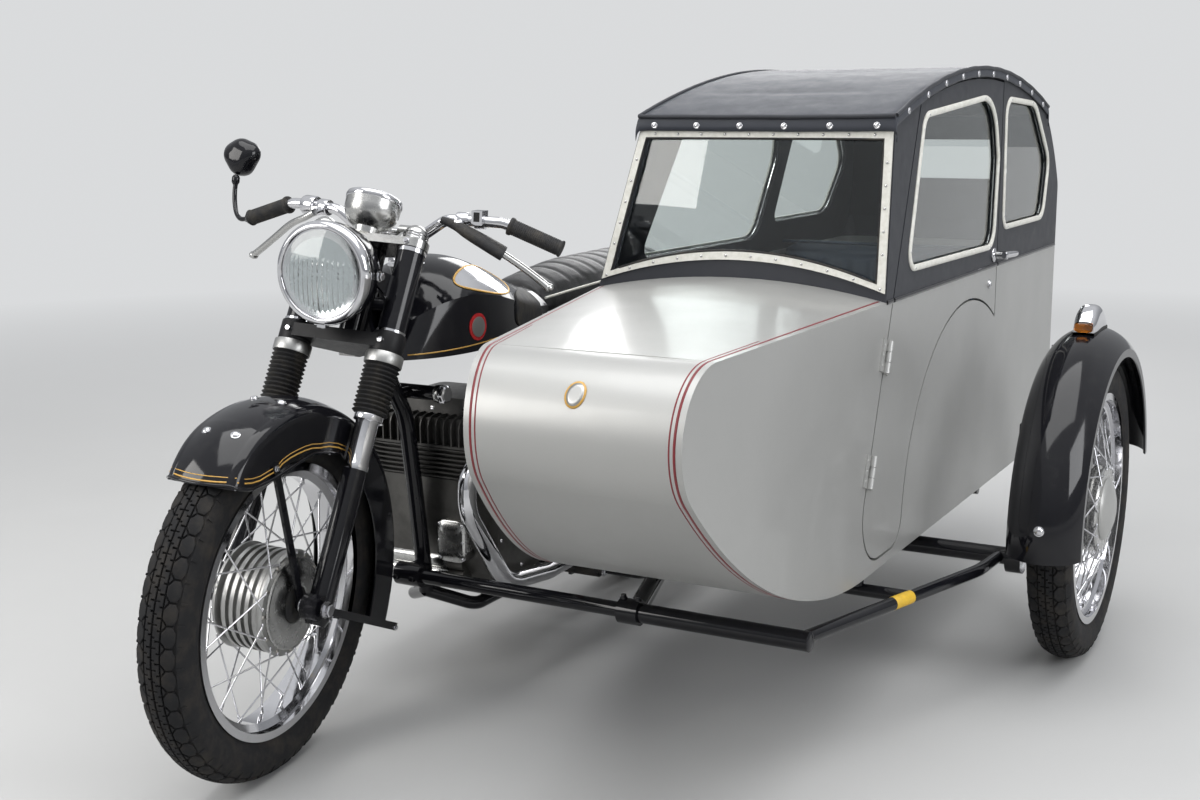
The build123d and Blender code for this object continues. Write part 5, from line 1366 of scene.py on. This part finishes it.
def screen_point(x, h, out=0.0):
    return at(x, SCREEN_Y, WAIST_Z) + SCREEN_UP * h + SCREEN_OUT * out


def sill_arc(inset, low, count=40):
    """The frame's arched lower edge, from the bike's side to the road side."""
    left, right_x = INNER_X + inset + LEAN_STEP * low, BODY_X - inset
    middle = (left + right_x) / 2
    half = (right_x - left) / 2
    return [
        (middle + half * t, low + 0.052 * (1 - t * t)) for t in (2 * k / (count - 1) - 1 for k in range(count))
    ]


RIVET_INSET, GASKET_INSET = 0.0125, 0.0205
rivets = Shape()
top = SCREEN_H - 0.0305


def screen_rivet(x, h):
    rivets.stud(screen_point(x, h, 0.0038), SCREEN_OUT, 0.0032, 0.0018, 10)


for x, h in sill_arc(RIVET_INSET, 0.0255, 12):
    screen_rivet(x, h)


def screen_left(h, inset):
    """The frame's leaning edge on the bike's side, at a height up the screen."""
    return INNER_X + inset + LEAN_STEP * h


for k in range(10):
    left = screen_left(top, RIVET_INSET)
    screen_rivet(left + (BODY_X - RIVET_INSET - left) * (k + 0.5) / 10, top)
for k in range(5):
    h = 0.07 + (top - 0.1) * (k + 0.5) / 5
    for x in (screen_left(h, 0.0115), BODY_X - 0.0115):
        screen_rivet(x, h)
rivets.make("screen_rivets", "outfit", alloy, "polished_alloy", 50)
gasket = Shape()
high = SCREEN_H - 0.0385
right_x = BODY_X - GASKET_INSET
loop = sill_arc(GASKET_INSET, 0.0355, 30)
loop += [(right_x, h) for h in stretch(0.06, SCREEN_H - 0.039, 8)[1:]]
loop += [(x, high) for x in stretch(right_x, screen_left(high, GASKET_INSET), 12)[1:-1]]
loop += [(screen_left(h, GASKET_INSET), h) for h in stretch(high, 0.05, 8)[:-1]]
gasket.tube([screen_point(x, h, 0.0022) for x, h in loop], 0.0028, 8, closed=True)
gasket.make("screen_gasket", "outfit", black_rubber, "black_rubber", 60)

# Hood cloth over the roof: one sheet that sags between the bows, with turned edges, piping and snaps

ROOF_FRONT, ROOF_PEAK, ROOF_REAR = (0.8, 1.185), (1.4, 1.281), (1.995, 1.196)
arc_y, arc_z, arc_r = circle_through(ROOF_FRONT, ROOF_PEAK, ROOF_REAR)
HOOD_START, HOOD_END = 0.792, 2.006
HOOD_ACROSS = 40
HOOD_EDGE = ((0.0215, 0.0), (0.016, 0.0), (0.0095, 0.0), (0.005, 0.0008), (0.0018, 0.0035))
BOWS = (1.1, 1.4, 1.7)
BOW_REACH = 0.15


def roof_height(y):
    return arc_z + sqrt(arc_r**2 - (y - arc_y) ** 2)


def hood_point(t, y):
    """On the hood's outside, t across from the bike's side to the road side."""
    z = roof_height(y)
    x0 = INNER_X + LEAN_SLOPE * (z - WAIST_Z) - 0.0055
    x1 = BODY_X + 0.0055
    sag = 0.002
    if min(BOWS) - BOW_REACH < y < max(BOWS) + BOW_REACH:
        sag = 0.0042 * min(1.0, min(abs(y - bow) for bow in BOWS) / BOW_REACH) ** 2
    ripple = 0.0005 * sin(y * 61 + 7 * t) * sin(t * 17)
    return at(x0 + (x1 - x0) * t, y, z + 0.0098 - sag * sin(pi * t) + ripple)


def hood_section(y, step, drop):
    """A row of the cloth: up its edge on the bike's side, across, and down on the road side."""
    left, road = hood_point(0, y), hood_point(1, y)
    row = [left + Vector((tuck - LEAN_SLOPE * low, 0, -low)) for low, tuck in HOOD_EDGE]
    row += [hood_point(0.012 + 0.976 * k / HOOD_ACROSS, y) for k in range(1, HOOD_ACROSS)]
    row += [road - Vector((tuck, 0, low)) for low, tuck in reversed(HOOD_EDGE)]
    return [p + Vector((0, step, -drop)) for p in row]


hood = Shape()
hood.rings(
    [
        hood_section(HOOD_START, *hem)
        for hem in ((-0.0045, 0.03), (-0.005, 0.02), (-0.0045, 0.01), (-0.0025, 0.0035))
    ]
    + [hood_section(y, 0, 0) for y in stretch(HOOD_START, HOOD_END, 90)]
    + [
        hood_section(HOOD_END, *hem)
        for hem in ((0.0025, 0.0035), (0.0045, 0.01), (0.0055, 0.02), (0.006, 0.029))
    ],
    closed=False, capped=False,
)
hood_mesh = bpy.data.meshes.new("hood_cloth")
hood_mesh.from_pydata(hood.points, [], hood.faces)
hood_mesh.update()
# The hood's cloth is painted lighter than the cabin's same charcoal: painted sunlight on the roof
hood_cloth = piece("hood_cloth", hood_mesh, "outfit", sunlit_roof_cloth)
thick = hood_cloth.modifiers.new("thickness", "SOLIDIFY")
thick.thickness = 0.0024
thick.offset = -1
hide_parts("roof_cover")

welts = Shape()
for t, inward in ((0, 0.0015), (1, -0.0015)):
    lengths = [max(HOOD_START, y - 0.002) for y in stretch(HOOD_START, HOOD_END, 60)]
    welts.tube([hood_point(t, y) + Vector((inward, 0, -0.0012)) for y in lengths], 0.0042, 10)
for y, step in ((HOOD_START, -0.0052), (HOOD_END, 0.0052)):
    welts.tube([hood_point(t, y) + Vector((0, step, -0.0015)) for t in stretch(0.004, 0.996, 30)], 0.0042, 10)
welts.make("hood_piping", "outfit", cabin_cloth, "charcoal_cloth", 60)

snaps = Shape()


def snap(place, normal):
    snaps.turned(place, normal, [
        (0.007, -0.001), (0.007, 0.0006), (0.0062, 0.0016), (0.0048, 0.002), (0.004, 0.0016), (0.0022, 0.0028),
        (0.0004, 0.003),
    ], 20)


for t in stretch(0.07, 0.93, 5):
    snap(hood_point(t, HOOD_START) + Vector((0, -0.0052, -0.019)), (0, -1, 0))
for y in stretch(0.86, 1.94, 9):
    snap(hood_point(0, y) - Vector((LEAN_SLOPE * 0.013 + 0.0003, 0, 0.0135)), (-1, 0, 0))
    snap(hood_point(1, y) + Vector((0.0003, 0, -0.0135)), (1, 0, 0))
snaps.make("hood_snaps", "outfit", chrome, "chrome_plate", 50)

# Door furniture: handle with its plate, lock and hinge screws

handle = Shape()
HANDLE = at(BODY_X, 1.54, 0.864)
handle.turned(HANDLE, (1, 0, 0), [
    (0.017, -0.001), (0.0175, 0.001), (0.0165, 0.004), (0.0125, 0.0055), (0.0095, 0.0075), (0.0085, 0.024),
    (0.0098, 0.028), (0.0095, 0.034), (0.006, 0.0365),
], 32)
grip_path = smooth_path([HANDLE + Vector(p) for p in (
    (0.029, -0.012, 0.0005), (0.03, 0.01, 0.0), (0.031, 0.05, -0.0015), (0.031, 0.09, -0.0035),
    (0.027, 0.116, -0.005),
)], 6)
rings = []
for i, p in enumerate(grip_path):
    share = i / (len(grip_path) - 1)
    wide = 0.0078 - 0.0025 * share + 0.0012 * sin(share * pi)
    deep = 0.0055 - 0.0012 * share
    rings.append([p + Vector((cos(a) * deep, 0, sin(a) * wide)) for a in around(16)])
handle.rings(rings)
LOCK = at(BODY_X, 1.512, 0.798)
handle.turned(LOCK, (1, 0, 0), [
    (0.0105, -0.001), (0.011, 0.001), (0.01, 0.0035), (0.007, 0.0042), (0.0066, 0.006), (0.001, 0.0062),
], 28)
thing = handle.make("door_lever_handle", "door", chrome, "chrome_plate", 40)
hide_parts("door_handle")
slot_mark = Shape()
slot_mark.box(LOCK + Vector((0.0062, 0, 0)), (0.0003, 0, 0), (0, 0.0009, 0), (0, 0, 0.0042))
slot_mark.make("door_lock_slot", "door", black_rubber, "black_rubber", None)
hinge_screws, body_screws = Shape(), Shape()
HINGE_FOOT = (0.631 - 0.0025, 0.335)
hinge_axis = Vector((0, sin(DOOR_LEAN), cos(DOOR_LEAN)))
hinge_across = Vector((0, cos(DOOR_LEAN), -sin(DOOR_LEAN)))
for row in (0.198, 0.424):
    root = at(BODY_X + 0.003, HINGE_FOOT[0], HINGE_FOOT[1]) + hinge_axis * row
    for step in (-0.02, 0.0, 0.02):
        for screws, away in ((hinge_screws, 0.018), (body_screws, -0.018)):
            screws.stud(root + hinge_axis * step + hinge_across * away, (1, 0, 0), 0.003, 0.0014, 10)
hinge_screws.make("door_hinge_screws", "door", silver, "silver_paint", 50)
body_screws.make("body_hinge_screws", "outfit", silver, "silver_paint", 50)

# Sidecar mudguard: rolled edges, chrome bolts, side lamp; yellow band and bolts on the chassis

beads = Shape()
for x in (TRACK - 0.0725, TRACK + 0.0725):
    beads.tube([
        at(x, SIDE_AXLE_Y - 0.3385 * sin(a), TYRE_R + 0.3385 * cos(a))
        for a in map(radians, stretch(-79.5, 93.5, 70))
    ], 0.0026, 10)
beads.make("sidecar_mudguard_beads", "outfit", black, "black_enamel", 60)
side_bolts = Shape()
side_tree = tree_of("sidecar_mudguard")
for start_y, way, z in ((0.5, 1, 0.376), (2.2, -1, 0.42)):
    place, normal = touch(side_tree, at(TRACK, start_y, z), Vector((0, way, 0)))
    side_bolts.turned(place, normal, [
        (0.0105, -0.002), (0.0105, 0.001), (0.0085, 0.0015), (0.0078, 0.004), (0.0045, 0.006), (0.0008, 0.0066),
    ], 20)
side_bolts.make("sidecar_mudguard_bolts", "outfit", chrome, "chrome_plate", 50)
LAMP_FRONT, LAMP_REAR = SIDE_AXLE_Y - 0.0735, SIDE_AXLE_Y + 0.0605
lamp_hood, lamp_foot = Shape(), Shape()


def crown(y):
    """The height of the mudguard's crown at a place along it."""
    return TYRE_R + sqrt(0.4**2 - (y - SIDE_AXLE_Y) ** 2)


def arched(half, low, high, y, power=0.62):
    """A ring across the lamp: flat below, rounded over."""
    return [at(TRACK - half, y, low)] + [
        at(TRACK - half * across, y, low + 0.012 + (high - low - 0.012) * rise)
        for across, rise in (squared(a, power) for a in stretch(0, pi, 20))
    ] + [at(TRACK + half, y, low)]


hood_rings, foot_rings = [], []
for s in stretch(0, 1, 28):
    y = LAMP_FRONT + (LAMP_REAR - LAMP_FRONT) * s
    plan = (1 - abs(2 * s - 1) ** 5) ** 0.2
    rise = 0.031 + 0.026 * sin(pi * min(1, s * 1.05)) ** 0.8 - 0.012 * s
    hood_rings.append(arched(0.0255 * max(plan, 0.86), crown(y) - 0.01, crown(y) + rise * max(plan, 0.9), y))
    foot_rings.append(arched(0.0262 * max(plan, 0.9), crown(y) - 0.014, crown(y) + 0.0045, y, 0.3))
lamp_hood.rings(hood_rings)
lamp_foot.rings(foot_rings)
thing = lamp_hood.make("side_lamp_hood", "outfit", chrome, "chrome_plate", 40)
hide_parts("side_lamp")
lamp_foot.make("side_lamp_foot", "outfit", black_rubber, "black_rubber", 40)
front_lens, rear_lens = Shape(), Shape()
for shape, y, out, high in ((front_lens, LAMP_FRONT, -1, 0.0112), (rear_lens, LAMP_REAR, 1, 0.007)):
    shape.rings([
        [
            at(TRACK + 0.0195 * grow * across, y + out * step, crown(y) + 0.0045 + high + high * grow * rise)
            for across, rise in (squared(a, 0.5) for a in around(24))
        ]
        for grow, step in ((1.0, -0.004), (1.0, 0.002), (0.9, 0.0055), (0.7, 0.0075), (0.3, 0.0085))
    ])
front_lens.make("side_lamp_front_glass", "outfit", amber_lens, "lamp_glass", 60)
rear_lens.make("side_lamp_rear_glass", "outfit", red_lens, "red_lens", 60)

CROSS_TUBE_Y, RAIL_Z = 0.445, 0.258
band_shape = Shape()
rail_start, rail_end = at(0.868, CROSS_TUBE_Y, RAIL_Z), at(1.04, 1.02, RAIL_Z)
rail_dir = (rail_end - rail_start).normalized()
band_shape.turned(rail_start + rail_dir * 0.29, rail_dir, [
    (0.0131, 0), (0.0134, 0.0006), (0.0134, 0.0605), (0.0131, 0.061),
], 32)
band_shape.make("chassis_yellow_band", "outfit", yellow_band, "silver_paint", 50)
chassis_bolts = Shape()
for side in (-1, 1):
    chassis_bolts.bolt(at(0.524 + side * 0.016, CROSS_TUBE_Y, 0.2835), (0, 0, 1), 0.0062, 0.007)
    chassis_bolts.bolt(at(0.008 + side * 0.02, 0.4195, RAIL_Z), (0, -1, 0), 0.0062, 0.007)
chassis_bolts.turned(at(0.887, CROSS_TUBE_Y, RAIL_Z), (1, 0, 0), [
    (0.018, -0.001), (0.0196, 0.0), (0.0196, 0.003), (0.017, 0.005), (0.006, 0.006),
], 28)
chassis_bolts.make("chassis_bolts", "outfit", black, "steel_parts", 40)

# Padded pieces: remeshed, filled out with pressure, then sewn

def plump(name, shape, voxel, cap, frames=14):
    """A closed form that cloth pressure fills out, each point moving no further than cap."""
    start = bpy.data.objects.new(name, shape.mesh(name))
    scene.collection.objects.link(start)
    remesh = start.modifiers.new("remesh", "REMESH")
    remesh.mode = "VOXEL"
    remesh.voxel_size = voxel
    depsgraph = bpy.context.evaluated_depsgraph_get()
    even = bpy.data.meshes.new_from_object(start.evaluated_get(depsgraph))
    bpy.data.objects.remove(start)
    even.name = name
    rest = [v.co.copy() for v in even.vertices]
    pad = bpy.data.objects.new(name, even)
    scene.collection.objects.link(pad)
    cloth = pad.modifiers.new("cloth", "CLOTH")
    cloth.settings.quality = 4
    cloth.settings.use_pressure = True
    cloth.settings.uniform_pressure_force = 4
    cloth.settings.effector_weights.gravity = 0
    cloth.point_cache.frame_start = 1
    cloth.point_cache.frame_end = frames
    for number in range(1, frames + 1):
        scene.frame_set(number)
    depsgraph = bpy.context.evaluated_depsgraph_get()
    filled = [v.co.copy() for v in pad.evaluated_get(depsgraph).data.vertices]
    for vertex, before, after in zip(even.vertices, rest, filled):
        step = after - before
        if step.length > cap:
            step *= cap / step.length
        vertex.co = before + step
    scene.frame_set(1)
    bpy.data.objects.remove(pad)
    return even


def padded_piece(name, mesh, material, node=None):
    even_smooth = piece(name, mesh, "outfit", material)
    once = even_smooth.modifiers.new("smooth", "SUBSURF")
    once.levels = once.render_levels = 1
    if node:
        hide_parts(node)


def valley(distance, width):
    """A sewn channel's depth, from 1 in its middle to 0 beside it."""
    return exp(-((distance / width) ** 2))


def clamped(value):
    """A value held between 0 and 1."""
    return max(0.0, min(1.0, value))


# Dual seat: sections along the bike, as the solid has them
SEAT = (
    # y, half width, height of the edge, height of the top
    (0.868, 0.082, 0.796, 0.83),
    (0.98, 0.098, 0.806, 0.843),
    (1.102, 0.112, 0.815, 0.855),
    (1.28, 0.111, 0.818, 0.858),
    (1.46, 0.108, 0.822, 0.86),
    (1.505, 0.094, 0.812, 0.846),
    (1.516, 0.08, 0.8, 0.826),
)


def seat_at(y):
    for a, b in zip(SEAT, SEAT[1:]):
        if y <= b[0]:
            t = max(0.0, (y - a[0]) / (b[0] - a[0]))
            return [a[i] + (b[i] - a[i]) * t for i in (1, 2, 3)]
    return list(SEAT[-1][1:])


def seat_ring(y, shrink=0.0):
    half, edge, top = seat_at(y)
    half -= shrink
    side_line = [
        (half - 0.012, 0.753), (half, 0.764), (half + 0.001, (0.764 + edge) / 2), (half - 0.002, edge - 0.008),
    ]
    ring = [(-x, z) for x, z in side_line]
    ring += [(half * t, edge - shrink * 0.6 + (top - edge) * (1 - t * t)) for t in stretch(-0.93, 0.93, 12)]
    return [at(x, y, z) for x, z in ring + side_line[::-1]]


dual = Shape()
dual.rings([seat_ring(0.868 + 0.648 * k / 36, 0.004) for k in range(37)])
dual_mesh = plump("dual_seat_cover", dual, 0.008, 0.006)
for vertex in dual_mesh.vertices:
    x, y, z = vertex.co - OFFSET
    half, edge, top = seat_at(y)
    if z > edge - 0.004:
        depth = 0.0
        inside = clamped((half * 0.84 - abs(x)) / 0.008)
        if 0.93 < y < 1.49:
            row = round((y - 0.94) / 0.054)
            depth = max(depth, 0.0046 * inside * valley(y - 0.94 - row * 0.054, 0.0055))
        depth = max(depth, 0.004 * valley(abs(x) - half * 0.84, 0.0055))
        vertex.co.z -= depth
    elif 0.758 < z:
        vertex.co.x += copysign(0.0007 * sin(y * 90) * sin((z - 0.75) * 60), x)
padded_piece("dual_seat_cover", dual_mesh, seat_black, "dual_seat")
piping = Shape()
for side in (-1, 1):
    path = []
    for y in stretch(0.874, 1.506, 60):
        half, edge, top = seat_at(y)
        path.append(at(side * (half + 0.0012), y, edge - 0.0045))
    piping.tube(path, 0.003, 10)
half, edge, top = seat_at(1.506)
piping.tube([
    at(t * (half + 0.001), 1.506 + 0.011 * (1 - t * t), edge - 0.0045 + 0.004 * (1 - t * t)) for t in stretch(-1, 1, 14)
], 0.003, 10)
piping.make("dual_seat_piping", "outfit", cream_trim, "silver_paint", 60)
base_strip = Shape()
for side in (-1, 1):
    path = [at(side * (seat_at(y)[0] + 0.0006), y, 0.7565) for y in stretch(0.87, 1.51, 30)]
    half_round(base_strip, path, (side, 0, 0), 0.005)
base_strip.make("dual_seat_trim", "outfit", chrome, "chrome_plate", 60)

# Sidecar seat: pleated cushion and back

SEAT_LEFT, SEAT_RIGHT = 0.307, 0.875
PLEATS = 9


def bench(name, profile, voxel, cap, sewn):
    """A pad across the sidecar whose side view is a closed outline, with pleats sewn after it is filled."""
    form = Shape()
    middle_y, middle_z = (sum(values) / len(profile) for values in zip(*profile))
    rings = []
    count = 24
    for k, x in enumerate(stretch(SEAT_LEFT, SEAT_RIGHT, count)):
        tight = (0.9, 0.97, 1.0)[min(k, count - k, 2)]
        rings.append([at(x, middle_y + (y - middle_y) * tight, middle_z + (z - middle_z) * tight) for y, z in profile])
    form.rings(rings)
    mesh = plump(name, form, voxel, cap)
    for vertex in mesh.vertices:
        x, y, z = vertex.co - OFFSET
        share = (x - SEAT_LEFT) / (SEAT_RIGHT - SEAT_LEFT) * PLEATS
        near = abs(share - round(share)) * (SEAT_RIGHT - SEAT_LEFT) / PLEATS
        vertex.co += sewn(x, y, z, valley(near, 0.0062) if 0 < round(share) < PLEATS else 0.0)
    return mesh


def cushion_seams(x, y, z, pleat):
    inside = clamped((z - 0.545) / 0.008) * clamped((y - 1.215) / 0.02)
    cross = valley(y - 1.215, 0.006) * clamped((z - 0.545) / 0.008)
    return Vector((0, 0, -0.0085 * max(pleat * inside, cross)))


def back_seams(x, y, z, pleat):
    front = clamped((1.66 + 0.24 * (z - 0.55) - y) / 0.012)
    inside = front * clamped((0.835 - z) / 0.015)
    cross = valley(z - 0.835, 0.006) * front
    return Vector((0, 0.0085 * max(pleat * inside, cross), 0))


cushion = bench("sidecar_cushion", [
    (1.184, 0.4445), (1.181, 0.47), (1.18, 0.5), (1.183, 0.523), (1.192, 0.54), (1.21, 0.55), (1.24, 0.553),
    (1.32, 0.551), (1.42, 0.547), (1.52, 0.541), (1.6, 0.536), (1.616, 0.525), (1.612, 0.48), (1.606, 0.4445),
    (1.5, 0.443), (1.35, 0.443),
], 0.009, 0.007, cushion_seams)
back = bench("sidecar_backrest", [
    (1.6285, 0.446), (1.634, 0.5), (1.64, 0.56), (1.655, 0.64), (1.672, 0.72), (1.69, 0.8), (1.704, 0.845),
    (1.722, 0.865), (1.744, 0.868), (1.764, 0.856), (1.772, 0.835), (1.764, 0.76), (1.752, 0.66), (1.74, 0.56),
    (1.728, 0.446), (1.68, 0.4445),
], 0.009, 0.007, back_seams)
padded_piece("sidecar_cushion", cushion, seat_blue, "sidecar_seat")
padded_piece("sidecar_backrest", back, seat_blue)
welt = Shape()
for y, z in ((1.184, 0.5405), (1.7035, 0.8625)):
    welt.tube([at(x, y, z) for x in stretch(SEAT_LEFT + 0.006, SEAT_RIGHT - 0.006, 30)], 0.0042, 10)
welt.make("sidecar_seat_welts", "outfit", seat_blue, "blue_vinyl", 60)

# Tail lamp glass, and the fittings of the boxes under the seat

BOX_X, BOX_Y = 0.13, WHEELBASE - 0.42
TAIL_Y = WHEELBASE + 0.376 * sin(radians(62))
Shape().turned(at(0, TAIL_Y - 0.014, 0.598), (0, 1, 0), [
    (0.031, 0.06), (0.0318, 0.063), (0.0306, 0.071), (0.03, 0.077), (0.026, 0.0815), (0.018, 0.0845),
    (0.008, 0.0862), (0.0008, 0.0866),
], 48).make("tail_lamp_glass", "outfit", red_lens, "red_lens", 60)
Shape().turned(at(0, TAIL_Y - 0.014, 0.598), (0, 1, 0), [
    (0.0325, 0.052), (0.0348, 0.0535), (0.0352, 0.058), (0.0345, 0.0615), (0.0318, 0.0625),
], 48).make("tail_lamp_ring", "outfit", chrome, "chrome_plate", 50)
boxes = Shape()
for side in (-1, 1):
    boxes.turned(at(side * BOX_X, BOX_Y, 0.64), (side, 0, 0), [
        (0.013, -0.001), (0.0135, 0.004), (0.012, 0.0075), (0.003, 0.0085),
    ], 24)
    for dy, z in ((-0.058, 0.682), (0.058, 0.682), (-0.058, 0.475), (0.058, 0.475)):
        boxes.stud(at(side * BOX_X, BOX_Y + dy, z), (side, 0, 0), 0.0038, 0.002, 10)
boxes.make("side_box_fittings", "outfit", chrome, "chrome_plate", 50)

# One node has both yokes: the upper one is bare alloy, the lower one is enamelled

yokes = Surface("yoke_metal")
height = yokes.new("ShaderNodeVectorMath", operation="DOT_PRODUCT")
yokes.link(yokes.place, height.inputs[0])
height.inputs[1].default_value = FORK_UP
change = FORK_UP.dot(fork(0, LEG_BACK, 0.6))
enamel = yokes.spread(height.outputs["Value"], 1.0, 0.0, change - 0.001, change + 0.001)
bare = yokes.mix(yokes.noise(30, 5), (0.5, 0.5, 0.49), (0.4, 0.4, 0.39))
yokes.set(Base_Color=yokes.mix(enamel, bare, (0.006, 0.006, 0.008)))
yokes.set(Metallic=yokes.sum("SUBTRACT", 1.0, enamel), Roughness=yokes.spread(yokes.noise(40, 4), 0.15, 0.26))
yokes.bump(yokes.noise(500, 2), 0.06, 0.0005)

# Materials of the CAD nodes

for material, names in (
    (black, (
        "bike_frame", "plunger_units", "fuel_tank", "rear_mudguard", "tail_lamp", "oil_tank_and_toolbox",
        "sidecar_chassis", "sidecar_axle", "sidecar_mudguard", "fork_sliders", "fork_shrouds", "headlamp_shell",
        "mirror", "front_mudguard", "centre_stand",
    )),
    (chrome, ("exhausts", "side_lamp", "handlebar", "front_rim", "rear_rim", "sidecar_rim", "door_handle")),
    (silver, ("bonnet", "sidecar_tub", "door_hinges", "door_panel")),
    (alloy, ("speedometer", "rear_hub", "sidecar_hub")),
    (satin_alloy, ("carburettor", "front_hub")),
    (cast, ("crankcase",)),
    (fin_metal, ("cylinder_block", "cylinder_head")),
    (steel, ("rear_chain",)),
    (yokes.material, ("fork_yokes",)),
    (black_rubber, ("footrests", "fork_gaiters", "hand_controls")),
    (tyre_rubber, ("front_tyre", "rear_tyre", "sidecar_tyre")),
    (cabin_cloth, ("cabin_shell", "door_frame")),
    (sunlit_roof_cloth, ("roof_cover",)),
    (seat_black, ("dual_seat",)),
    (seat_blue, ("sidecar_seat",)),
    (cream_trim, ("screen_frame",)),
    (clear_glass, ("cabin_glass", "headlamp_lens", "door_glass")),
):
    for name in names:
        dress(name, material)
